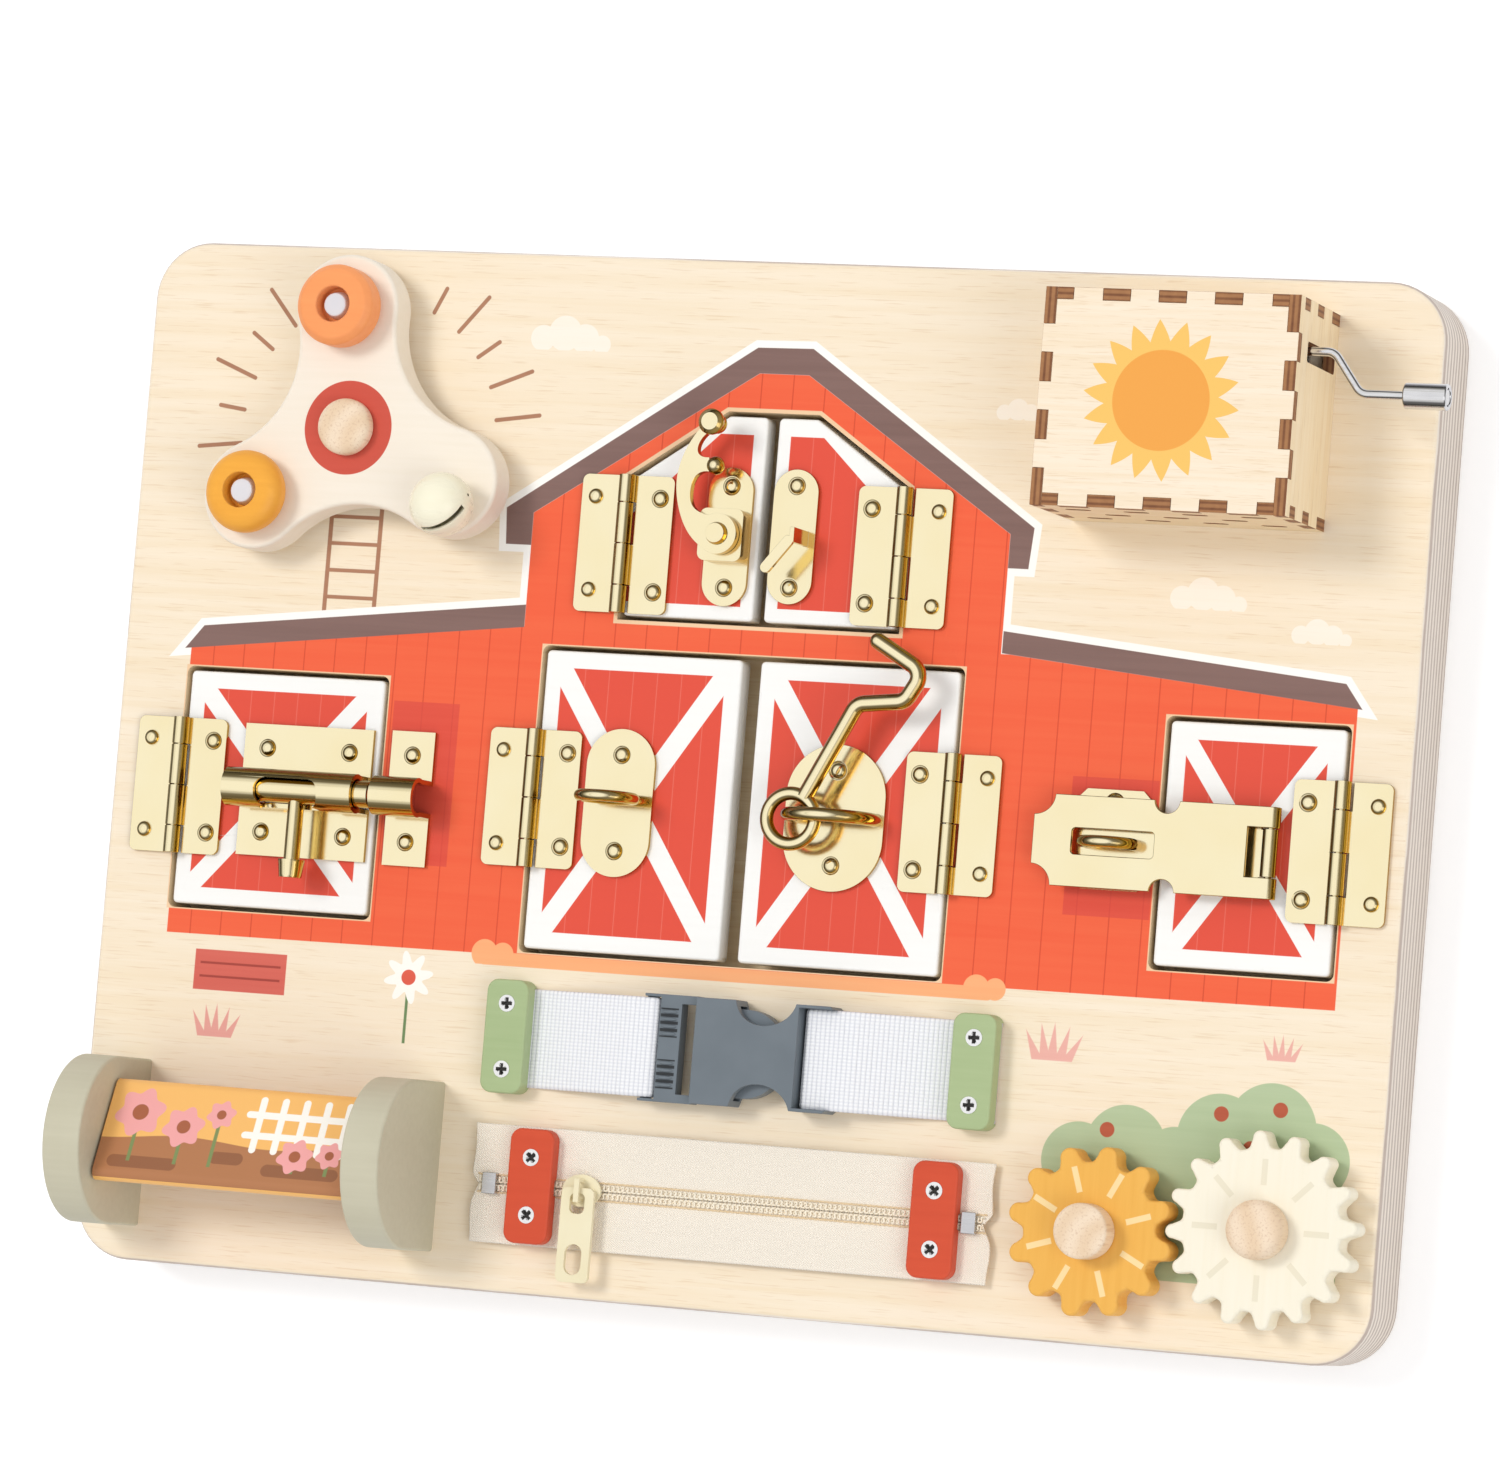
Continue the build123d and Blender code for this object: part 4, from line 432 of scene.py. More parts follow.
def directions(path):
    """The unit direction of a path at each of its points."""
    along = np.gradient(path, axis=0)
    return along / np.linalg.norm(along, axis=1, keepdims=True)


def lengths(path):
    """How far along a path each of its points is."""
    return np.r_[0.0, np.cumsum(np.linalg.norm(np.diff(path, axis=0), axis=1))]


def tube_points(path, radius, sides, up=(0.0, 0.0, 1.0)):
    """A ring of points of one radius round each point of a path, square to the path."""
    along = directions(path)
    across = np.cross(along, np.broadcast_to(np.array(up, float), along.shape))
    across /= np.linalg.norm(across, axis=1, keepdims=True)
    rise = np.cross(across, along)
    turn = np.linspace(0.0, TURN, sides, endpoint=False)[None, :, None]
    return path[:, None] + radius * (np.cos(turn) * across[:, None] + np.sin(turn) * rise[:, None])


def joined(name, meshes):
    """One mesh from several."""
    work = bmesh.new()
    for mesh in meshes:
        work.from_mesh(mesh)
        bpy.data.meshes.remove(mesh)
    mesh = bpy.data.meshes.new(name)
    work.to_mesh(mesh)
    work.free()
    return mesh


# ------------------------------------------------------------------ finishes: the board
def wood_base(paint, pale, dark, along_x=True, scale=1.0):
    """Basswood: long faint streaks, short pores and slow cloudy changes of tone."""
    long, wide = (0.010, 0.35) if along_x else (0.35, 0.010)
    streak = paint.noise(long * scale, wide * scale, 0.3 * scale, 5.0, 0.6, 0.4)
    pore = paint.noise(long * 9 * scale, wide * 6 * scale, 1.5, 2.0, 0.5)
    cloud = paint.noise(0.012, 0.016, 0.012, 2.0)
    tone = paint.mix((streak - 0.36) * 2.2 * (cloud * 0.7 + 0.45), tint(pale), tint(dark))
    return paint.mix(pore.over(0.64, 0.1) * 0.30, tone, tint("D6B282")), streak


def ply_lines(paint, z):
    """Plywood seen from its edge: nine grey and cream pairs stacked up through the thickness."""
    drift = paint.noise(0.02, 0.02, 0.03, 2.0)
    grain = paint.noise(0.25, 0.25, 1.2, 3.0)
    layer = (z * (9.0 / FACE) + drift * 0.8).fraction()
    thin = abs(layer - 0.5).over(0.24 + grain * 0.06, 0.12)
    return paint.mix(thin * 0.9, tint("F3E8DB"), paint.mix(grain, tint("B7A499"), tint("CBBBAF")))


def board_back():
    """Bare birch with its layers on the edge."""
    paint = Paint("bare_birch_back", Roughness=0.55)
    _, _, z = paint.place()
    face, streak = wood_base(paint, "F2DFBE", "E0C398")
    flat = abs(paint.normal()[2]).over(0.8, 0.2)
    return paint.set(Base_Color=paint.mix(flat, ply_lines(paint, z), face),
                     Normal=paint.bump(streak, 0.04))


def planks(x, pitch, offset, half):
    """1 on the thin upright lines between painted planks."""
    step = ((x + offset) * (1.0 / pitch)).fraction()
    return abs(step - 0.5).over(0.5 - half / pitch, 0.12 / pitch)


def print_clouds(art):
    """Clouds of four discs on a flat foot."""
    for cx, cy, size in ((-58.0, 113.0, 1.0), (66.0, 98.0, 0.6), (118.0, 54.0, 0.9),
                         (148.0, 46.0, 0.7)):
        cloud = union(art.disc(cx + ox * size, cy + oy * size, r * size) for ox, oy, r in (
            (0.0, 0.0, 4.6), (-6.0, -1.4, 3.4), (5.6, -1.2, 3.8), (10.4, -2.6, 2.4)))
        art.lay(cloud.least(art.y - (cy - 4.4 * size)), "FDF4E6", 0.85)


def print_rays(art):
    """Short rays round the spinner and a ladder below it."""
    ink, start, short, long = "B07F62", 36.0, 43.0, 48.0
    cx, cy = SPINNER
    for angle, end in ((8.0, long), (22.0, long), (36.0, short), (50.0, long), (64.0, short),
                       (130.0, long), (144.0, short), (158.0, long), (172.0, short), (186.0, long)):
        c, s = math.cos(math.radians(angle)), math.sin(math.radians(angle))
        art.lay(art.stroke((cx + start * c, cy + start * s), (cx + end * c, cy + end * s), 0.55), ink)
    left, right = -119.0, -105.0
    for rail in (left, right):
        art.lay(art.rectangle(rail - 0.6, rail + 0.6, 37.0, 70.0), ink)
    for rung in (42.0, 49.0, 56.0, 63.0):
        art.lay(art.rectangle(left, right, rung - 0.5, rung + 0.5), ink)


def print_barn(art):
    """A tall gabled hall between two lean-to wings, with brown roof edges and white round it all."""
    wings = art.convex([(-155.8, -47.7), (159.8, -46.7), (159.8, 27.6), (69.0, 36.4),
                        (-62.6, 37.0), (-155.8, 27.0)])
    hall = art.convex([(-62.6, -20.0), (66.6, -20.0), (66.6, 66.6), (9.6, 104.6), (-3.8, 104.6),
                       (-62.6, 66.4)])
    wall = wings.most(hall)
    brow = art.convex([(-69.6, 58.0), (72.0, 58.0), (72.8, 68.4), (10.2, 111.4), (-4.8, 111.2),
                       (-70.2, 67.4)]).least(-hall).least(art.y - 57.6)
    left_roof = art.convex([(-157.6, 26.6), (-62.6, 36.8), (-62.6, 42.6), (-152.6, 32.8)])
    right_roof = art.convex([(66.8, 36.6), (161.0, 27.4), (156.4, 33.6), (66.8, 42.2)])
    roof = union([brow, left_roof, right_roof])
    art.lay((roof.most(hall) + 1.9).least(art.y - 24.0), "FFFDF7")
    art.lay(wall, "F26640")
    seams = planks(art.x, 8.6, 3.0, 0.16)
    art.cover(wall.over(0.0, art.soft) * seams * 0.75, tint("CE4328"))
    art.lay(roof, "846760")
    for shade in ((-97.0, -78.6, -26.0, 16.0), (88.0, 110.6, -27.6, 7.0)):
        art.lay(art.rectangle(*shade), "DB4A3E", 0.75)


def print_openings(art):
    """A bare wood edge round each door opening."""
    bare, edge = "F3CFA6", 1.0
    for x0, x1, y0, y1 in ((-155.5, -99.5, -40.4, 21.4), (111.9, 158.1, -39.1, 22.7),
                           (-56.1, 56.9, -45.8, 31.8)):
        art.lay(art.rectangle(x0 - edge, x1 + edge, y0 - edge, y1 + edge), bare)
    art.lay(art.convex([(-38.2, 39.0), (40.2, 39.0), (40.2, 77.5), (13.7, 95.6), (-11.7, 95.6),
                        (-38.2, 77.5)]), bare)


def print_garden(art):
    """Ground along the barn's foot, a slatted crate, a daisy, tufts of grass and a hedge."""
    mounds = (art.disc(cx, -47.4, r).least(art.y + 50.2)
              for cx, r in ((-66.0, 3.6), (-61.0, 3.0), (67.0, 3.4), (72.0, 2.8)))
    art.lay(union([art.stroke((-66.0, -48.6), (70.0, -48.6), 1.7), *mounds]), "FBB27C")
    art.lay(art.rectangle(-147.0, -121.0, -62.0, -51.5), "D8695A")
    for gap in (-54.9, -58.4):
        art.lay(art.rectangle(-145.4, -122.6, gap - 0.3, gap + 0.3), "A8463B")
    daisy = (-86.5, -55.0)
    art.lay(art.rectangle(-86.9, -86.1, -72.0, -58.0), "6F8A5A")
    art.lay(art.flower(*daisy, 5.4, 8.0, 1.5), "FFFBF2")
    art.lay(art.disc(*daisy, 2.0), "E0604A")
    for cx, foot, size, code in ((-140.0, -74.0, 1.0, "E9A79B"), (88.0, -64.0, 1.1, "EDB3A6"),
                                 (147.0, -60.0, 0.75, "EDB3A6")):
        blades = []
        for lean in (-0.8, -0.35, 0.05, 0.5, 0.9):
            middle, half = cx + lean * 4 * size, 1.4 * size
            tip = (cx + lean * 8 * size, foot + (8.6 - 3 * lean * lean) * size)
            blades.append(art.convex([(middle - half, foot), (middle + half, foot), tip]))
        art.lay(union(blades), code)
    bushes = [art.disc(*bush) for bush in (
        (97.0, -88.0, 9.5), (109.0, -84.0, 10.5), (122.0, -87.0, 9.0), (133.0, -80.0, 11.0),
        (146.0, -77.0, 11.5), (157.0, -84.0, 9.5))]
    bushes.append(art.rectangle(90.0, 165.0, -118.0, -88.0))
    art.lay(union(bushes).least(art.y + 116.0), "B7C7A0")
    for berry in ((104.0, -80.0), (133.0, -74.0), (148.0, -72.0), (141.0, -82.0)):
        art.lay(art.disc(*berry, 1.9), "B85A3E")


def board_front():
    """Basswood with a barn, clouds and plants printed on it, and its layers on the edge."""
    paint = Paint("printed_board", Roughness=0.42, Specular_IOR_Level=0.4)
    x, y, z = paint.place()
    wood, streak = wood_base(paint, "F8E9D1", "F1DCB9")
    art = Print(paint, x, y, wood, 0.16, (streak - 0.4) * 0.5)
    for draw in (print_clouds, print_rays, print_barn, print_openings, print_garden):
        draw(art)
    # the outer edge shows layers; the walls of the openings, further in, are plain
    corner, corner_x, corner_y = 14.0, 160.0, 118.5
    from_rim = corner - distance((abs(x) - corner_x).most(0.0), (abs(y) - corner_y).most(0.0))
    wall = paint.mix(from_rim.over(0.0, art.soft), ply_lines(paint, z), tint("E8D0AA"))
    flat = paint.normal()[2].over(0.75, 0.2)
    return paint.set(Base_Color=paint.mix(flat, wall, art.colour), Normal=paint.bump(streak, 0.02))


def door_paint(name, outline, brace, seams_from, pitch):
    """White border round red panels; brace is half the width of two crossed braces, 0 for none."""
    paint = Paint(name, Roughness=0.36, Specular_IOR_Level=0.45)
    x, y, _ = paint.place()
    grain = paint.noise(0.02, 0.5, 0.4, 4.0)
    red = Print(paint, x, y, None, 0.14).convex(outline)
    if brace:
        (x0, y0), (x1, y1) = outline[0], outline[2]
        cx, cy, w, h = (x0 + x1) / 2, (y0 + y1) / 2, x1 - x0, y1 - y0
        long = math.hypot(w, h)
        for way in (-1, 1):
            line = abs((x - cx) * (h / long) + (y - cy) * (way * w / long))
            red = red.least(line - brace)
    seam = planks(x, pitch, -seams_from, 0.12) * 0.6
    body = paint.mix(seam, tint("E34F3A"), tint("EE7C6A"))
    body = paint.mix((grain - 0.4) * 0.25, body, tint("D8443A"))
    white = paint.mix((grain - 0.4) * 0.5, tint("FBFAF6"), tint("EFEDE6"))
    front = paint.normal()[2].over(0.8, 0.1)
    return paint.set(Base_Color=paint.mix(red.over(0.0, 0.14) * front, white, body),
                     Normal=paint.bump(grain, 0.015))


# ------------------------------------------------------------------ finishes: metal
def polished_brass():
    """Pale brass with painted reflection: golden where a surface turns away, darker on sides that turn
    left and up, and a painted dark line where the turn begins.
    """
    paint = Paint("polished_brass", Metallic=1.0)
    nx, ny, nz = paint.normal()
    away = 1.0 - abs(nz)
    mark = paint.noise(0.08, 1.4, 0.8, 3.0)
    cloud = paint.noise(0.05, 0.05, 0.05, 2.0)
    flat = paint.mix(cloud, tint("FFF5D2"), tint("FBEBBC"))
    # painted reflection and shade: turned-away sides take the dark tone where they turn left and up,
    # the golden one where they turn right and down
    side = paint.mix((nx - ny).over(0.0, 1.6), tint("6B5518"), tint("C99C34"))
    # painted reflection: a dark line where the surface begins to turn away
    painted_dark_line = away.over(0.07, 0.06) * (1.0 - away.over(0.26, 0.14))
    tone = paint.mix(painted_dark_line * 0.8, paint.mix(away.over(0.20, 0.24), flat, side), tint("54430F"))
    return paint.set(Base_Color=tone, Roughness=0.10 + mark * 0.07, Normal=paint.bump(mark, 0.0015))


def plated(name, code, low, spread):
    """Bright metal with faint lengthwise marks and a painted grey reflection line where a surface
    turns away.
    """
    paint = Paint(name, Metallic=1.0)
    mark = paint.noise(0.1, 1.2, 1.2, 3.0)
    away = 1.0 - abs(paint.normal()[2])
    # painted reflection: a grey line where the surface begins to turn away
    painted_dark_line = away.over(0.12, 0.08) * (1.0 - away.over(0.40, 0.16))
    plain = paint.mix(mark, tint(code), tint("C9C9CC"))
    return paint.set(Base_Color=paint.mix(painted_dark_line * 0.85, plain, tint("57565A")),
                     Roughness=low + mark * spread, Normal=paint.bump(mark, 0.002))


def screw_heads():
    """White lacquered screw heads with a cross sunk in each, turned 45 degrees on the zip; the cross
    is painted near black, a painted shade in the recess.
    """
    paint = Paint("white_screw_heads", Roughness=0.3)
    x, y, _ = paint.place()
    u, v = nearest(x, (-56.1, 69.6, -46.0, 62.4)), nearest(y, (-76.7, -59.9, -113.1, -98.5))
    half, reach, slant = 0.42, 1.45, 0.7071
    straight = (half - u.least(v)).least(reach - u.most(v))
    slanted = (half - abs(u - v) * slant).least(reach - (u + v) * slant)
    strap = y.over(-87.0, 1.0)
    cross = (straight * strap + slanted * (1.0 - strap)).over(0.0, 0.1)
    head = paint.mix(paint.noise(0.6, 0.6, 0.6, 3.0), tint("F6F6F4"), tint("DADADC"))
    # painted shade: the sunk cross is coloured near black, as shade in its recess
    return paint.set(Base_Color=paint.mix(cross, head, tint("1E1A18")),
                     Normal=paint.bump(1.0 - cross, 0.3))


# ------------------------------------------------------------------ finishes: painted wood
def satin_paint(name, code, shade, rough, grain=0.03):
    """Satin paint on wood: the grain telegraphs through, and the tone drifts a little."""
    paint = Paint(name)
    rise = paint.noise(0.03, 0.6, 0.6, 4.0)
    cloud = paint.noise(0.05, 0.05, 0.05, 3.0)
    drift = (rise * 0.5 + cloud * 0.5 - 0.35) * 1.2
    return paint.set(Base_Color=paint.mix(drift, tint(code), tint(shade)),
                     Roughness=rough + rise * 0.12, Normal=paint.bump(rise, grain))


def gear_paint(name, code, shade, dash, middle, turn, reach):
    """Satin paint with eight short dashes printed round the middle."""
    paint = Paint(name)
    x, y, _ = paint.place()
    art = Print(paint, x, y, None, 0.12)
    rise = paint.noise(0.6, 0.03, 0.6, 4.0)
    dashes, half = 8.0, 0.75
    away = art.far(*middle)
    turned = (art.turn(*middle) * (dashes / TURN) + turn + 2.0 * dashes).fraction()
    step = abs(turned - 0.5) * (TURN / dashes) * away
    mark = (half - step).least(away - reach[0]).least(reach[1] - away)
    front = paint.normal()[2].over(0.9, 0.05)
    base = paint.mix((rise - 0.35) * 0.8, tint(code), tint(shade))
    return paint.set(Base_Color=paint.mix(mark.over(0.0, art.soft) * front, base, tint(dash)),
                     Roughness=0.5 + rise * 0.12, Normal=paint.bump(rise, 0.03))


def spinner_paint():
    """Cream satin paint with a red disc printed round the knob."""
    paint = Paint("spinner_cream")
    x, y, _ = paint.place()
    art = Print(paint, x, y, None, 0.14)
    rise = paint.noise(0.03, 0.6, 0.6, 4.0)
    spot = art.disc(*SPINNER, 12.2).over(0.0, art.soft) * paint.normal()[2].over(0.9, 0.05)
    base = paint.mix((rise - 0.35) * 0.8, tint("F6ECDC"), tint("EEE2CC"))
    red = paint.mix((rise - 0.4) * 0.5, tint("CE5240"), tint("BC4434"))
    return paint.set(Base_Color=paint.mix(spot, base, red), Roughness=0.42 + rise * 0.12,
                     Normal=paint.bump(rise, 0.02))


def turned_wood(name, cx, cy):
    """Bare turned maple: rings round a point beside the middle on the end, streaks down the side."""
    paint = Paint(name, Roughness=0.58)
    x, y, _ = paint.place()
    heart_x, heart_y = 9.0, -5.0
    warp = paint.noise(0.12, 0.12, 0.05, 3.0)
    ring = (distance(x - cx - heart_x, y - cy - heart_y) * 0.9 + warp * 2.4).sine()
    pore = paint.noise(1.6, 1.6, 0.12, 2.0)
    tone = paint.mix(ring * 0.3 + 0.4, tint("F5E0C6"), tint("E6C8A4"))
    return paint.set(Base_Color=paint.mix(pore.over(0.6, 0.15) * 0.35, tone, tint("C49C78")),
                     Normal=paint.bump(pore, 0.03))


def laser_ply(name, axis, sun=False):
    """Thin pale plywood, square to an axis, whose cut edges are burnt; a printed sun if asked for.
    Pieces without the sun get warmer, darker tones, a painted shade.
    """
    paint = Paint(name, Roughness=0.6)
    place = paint.place()
    # the walls get warmer, darker tones than the sun front: painted shade
    front_or_shaded_wall_tones = ("FBEBD4", "F0D9B4") if sun else ("FBE6C2", "F0D3A0")
    ground, streak = wood_base(paint, *front_or_shaded_wall_tones, along_x=axis != 0, scale=1.6)
    art = Print(paint, place[0], place[1], ground, 0.16)
    if sun:
        points, inner, spike = 18.0, 14.6, 5.4
        share = (art.turn(*BOX_SUN) * (points / TURN) + 0.25 + points).fraction()
        art.lay(inner + abs(share - 0.5) * 2.0 * spike - art.far(*BOX_SUN), "F7C668")
        art.lay(art.disc(*BOX_SUN, 12.4), "F2A649")
    char = paint.noise(0.5, 0.5, 0.5, 4.0)
    layer = abs((place[axis] * 0.66 + 0.25).fraction() - 0.5).over(0.2, 0.2)
    burnt = paint.mix(char * 0.5 + layer * 0.45, tint("5C2C16"), tint("B98456"))
    cut = 1.0 - abs(paint.normal()[axis]).over(0.85, 0.1)
    return paint.set(Base_Color=paint.mix(cut, art.colour, burnt), Normal=paint.bump(streak, 0.02))


def roller_picture():
    """Each face of the roller: orange sky over brown ground, with fence bars and round flowers."""
    paint = Paint("roller_picture", Roughness=0.4)
    x, y, z = paint.place()
    # the way up a face from its middle: the face's distance from the axle times the tangent of
    # the angle from its middle, on a roller that rests tilted by a few degrees
    tilt, from_axle = 6.0, 9.24
    angle = paint.maths("ARCTAN2", z - ROLLER_Z, y - ROLLER_Y)
    share = (angle * (3.0 / TURN) - tilt / 120.0 + 3.0).fraction()
    up = paint.maths("TANGENT", (share - 0.5) * (TURN / 3.0)) * -from_axle
    art = Print(paint, x, up, tint("F8BD6B"), 0.18)
    art.lay((x * 0.13).sine() * 0.9 - 2.4 - up, "B4794F")
    for cx, cy, half in ((-143.0, -9.6, 8.0), (-99.0, -9.0, 9.0), (-120.0, -6.6, 3.0)):
        art.lay(art.stroke((cx - half, cy), (cx + half, cy), 1.7), "95603F")
    half = 0.95
    bars = [art.stroke((-113.6 + 6.0 * k, -3.6), (-113.6 + 6.0 * k, 10.4), half) for k in range(5)]
    rails = [art.stroke((-116.6, low), (-86.0, low), half) for low in (0.4, 6.2)]
    art.lay(union(bars + rails), "FFFAF0")
    for cx, cy, r in ((-147.0, 4.4, 6.2), (-134.0, 1.2, 5.2), (-124.4, 5.4, 3.6),
                      (-101.4, -4.6, 4.4), (-92.0, -3.6, 3.4)):
        art.lay(art.rectangle(cx - 0.5, cx + 0.5, -9.4, cy), "7F8F58")
        art.lay(art.flower(cx, cy, r, 6.0, 0.14 * r), "F3A9A6")
        art.lay(art.disc(cx, cy, r * 0.36), "A9603F")
    return paint.set(Base_Color=art.colour, Normal=paint.bump(paint.noise(0.03, 0.6, 0.6, 3.0), 0.02))


# ------------------------------------------------------------------ finishes: plastic and cloth
def moulded(name, code, shade, rough, pebble, groove_shade=None):
    """Moulded plastic: a fine even texture, slow changes of gloss, and painted shade in its grooves if
    it has any.
    """
    paint = Paint(name)
    fine = paint.noise(3.0, 3.0, 3.0, 2.0)
    slow = paint.noise(0.08, 0.08, 0.08, 2.0)
    colour = paint.mix(slow, tint(code), tint(shade))
    if groove_shade:
        # painted shade: the grooves between the ribs are coloured near black
        colour = paint.mix(groove_shade(paint), colour, tint("23272B"))
    return paint.set(Base_Color=colour, Roughness=rough + slow * 0.14,
                     Normal=paint.bump(fine, pebble))


def clip_groove_shade(paint):
    """Painted shade: 1 in the grooves between the clip's grip ribs, in a bank above and a bank below
    its middle.
    """
    x, y, _ = paint.place()
    inner, outer = 2.8, 10.2
    off = abs(y - STRAP_Y)
    groove = 0.22 - abs((off * (1.0 / GRIP_PITCH)).fraction() - 0.5)
    bank = (x - GRIP_LEFT).least(GRIP_RIGHT - x).least(off - inner).least(outer - off)
    return groove.over(0.0, 0.08) * bank.over(0.0, 0.1)


def woven(name, pale, shade, weave):
    """Cloth whose yarns stand up by a weave: a height of 0 to 1 from its own map in mm. Its colour is
    darker in the weave's hollows, a painted shade, and varies with a random fuzz.
    """
    paint = Paint(name, Roughness=0.85, Specular_IOR_Level=0.3)
    u, v, _ = paint.split(paint.node("ShaderNodeUVMap", {"uv_map": "cloth"}))
    height = weave(u, v)
    fuzz = paint.noise(2.4, 2.4, 2.4, 3.0)
    # painted shade: the darker tone lies in the weave's hollows; the fuzz is random tone
    return paint.set(Base_Color=paint.mix(height * 0.75 + fuzz * 0.25, tint(shade), tint(pale)),
                     Normal=paint.bump(height + fuzz * 0.3, 0.12))


def ribbed(u, v):
    """Ribs across the band, a power of |sine| along it, times a faint sine across it."""
    rib = abs((v * (math.pi / RIB)).sine()) ** 0.6
    return rib * ((u * (TURN / YARN)).sine() * 0.22 + 0.78)


def zigzag_twill(u, v):
    """A sine along the tape whose lines lean one way and then the other."""
    zig = abs((u * (1.0 / ZIGZAG)).fraction() - 0.5) * ZIGZAG
    return ((v + zig * 1.4) * (TURN / 0.75)).sine() * 0.5 + 0.5


# ------------------------------------------------------------------ the board and its doors
softened("back_panel", 0.0, board_back(), "birch_ply", "birch_back_panel")
softened("front_panel", 0.0, board_front(), "birch_ply", "printed_front_panel")

border = 4.4
for door, (x0, x1, y0, y1), brace in (("left_door", (-155.0, -100.0, -39.9, 20.9), 2.5),
                                      ("right_door", (112.4, 157.6, -38.6, 22.2), 2.3),
                                      ("barn_left_door", (-55.6, -2.1, -45.3, 31.3), 2.7),
                                      ("barn_right_door", (2.9, 56.4, -45.3, 31.3), 2.7)):
    left, right, foot, top = x0 + border, x1 - border, y0 + border, y1 - border
    outline = [(left, foot), (right, foot), (right, top), (left, top)]
    softened(door, 0.0, door_paint(door + "_print", outline, brace, left, 6.6), "red_print",
             door + "_leaf")
for side, outline, seams_from in (
        ("left", [(-40.0, 44.8), (-4.0, 44.8), (-4.0, 88.8), (-13.0, 88.8), (-40.0, 63.0)], -34.0),
        ("right", [(6.0, 44.8), (42.0, 44.8), (42.0, 63.0), (15.0, 88.8), (6.0, 88.8)], 6.0)):
    softened(f"loft_{side}_door", 0.0, door_paint(f"loft_{side}_print", outline, 0.0, seams_from, 6.2),
             "red_print", f"loft_{side}_door_leaf")

# ------------------------------------------------------------------ brassware
brass = polished_brass()
for node in ("left_hinge_leaf", "barn_left_hinge_leaf", "barn_right_hinge_leaf", "right_hinge_leaf",
             "loft_left_hinge_leaf", "loft_right_hinge_leaf", "hinge_frame_leaves", "bolt_barrel",
             "bolt_keeper", "hasp_staple", "hasp_base", "hasp_flap", "hook_catch", "hook_eye_plate",
             "latch_plate", "loft_catch"):
    softened(node, 0.22, brass, "brass", node + "_plated")
for node in ("hinge_pins", "bolt_rod", "door_hook", "latch_arm"):
    softened(node, 0.25, brass, "brass", node + "_plated")

# ------------------------------------------------------------------ spinner, beads and bell
softened("spinner_body", 1.6, spinner_paint(), "cream_paint", "spinner_three_arms", 4)
softened("spinner_peg", 0.3, turned_wood("spinner_knob_wood", *SPINNER), "bare_wood", "spinner_knob")
softened("orange_bead", 0.5, satin_paint("orange_bead_paint", "FBA262", "EF8A4C", 0.42),
         "orange_paint", "orange_round_bead", 3)
softened("yellow_bead", 0.3, satin_paint("yellow_bead_paint", "F6AE3C", "E2922A", 0.42),
         "mustard_paint", "yellow_ring_bead", 3)
softened("jingle_bell", 0.15, satin_paint("bell_enamel", "FBF6DE", "F2ECCB", 0.22, 0.005),
         "white_metal", "cream_jingle_bell")
softened("spinner_pins", 0.3, moulded("pin_enamel", "E9E9EC", "D2D2D8", 0.25, 0.003),
         "white_metal", "bead_pin_heads", 3)

# ------------------------------------------------------------------ music box
softened("music_box_front", 0.12, laser_ply("box_front_ply", 2, sun=True), "laser_ply", "box_front")
softened("music_box_long_walls", 0.12, laser_ply("box_long_ply", 1), "laser_ply", "box_long_walls")
side_ply = laser_ply("box_side_ply", 0)
softened("music_box_left_wall", 0.12, side_ply, "laser_ply", "box_left_wall")
softened("music_box_right_wall", 0.12, side_ply, "laser_ply", "box_right_wall")
nickel = plated("bright_nickel", "F6F6F8", 0.10, 0.10)
zinc = plated("bright_zinc", "D8D8DC", 0.22, 0.12)
softened("crank_arm", 0.0, nickel, "nickel", "crank_wire", angle=40)
softened("crank_knob", 0.5, nickel, "nickel", "crank_sleeve", 3)
softened("music_cylinder", 0.1, brass, "brass", "pinned_cylinder")
softened("movement_bed", 0.2, zinc, "steel", "movement_base")
softened("movement_comb", 0.05, zinc, "steel", "movement_tines")

# ------------------------------------------------------------------ picture roller
softened("roller_end_blocks", 1.2, satin_paint("grey_green_satin", "CBC6AE", "BAB49A", 0.5),
         "grey_green_paint", "roller_round_blocks", 4)
softened("roller_prism", 0.4, roller_picture(), "roller_print", "roller_three_sides", 3)
softened("roller_axle", 0.2, turned_wood("axle_wood", -120.0, ROLLER_Y), "bare_wood", "roller_dowel")

# ------------------------------------------------------------------ gears
softened("orange_gear", 0.9, gear_paint("mustard_gear_paint", "F0B654", "E2A03A", "FBDDA2",
         MUSTARD_GEAR, 0.11, (9.9, 16.4)), "mustard_paint", "mustard_gear", 3)
softened("cream_gear", 0.9, gear_paint("cream_gear_paint", "F9F2DE", "F1E8CC", "ECE4CC",
         CREAM_GEAR, 0.5, (11.0, 17.4)), "cream_paint", "cream_daisy_gear", 3)
softened("gear_pegs", 0.3, turned_wood("gear_knob_wood", *MUSTARD_GEAR), "bare_wood", "gear_knobs")

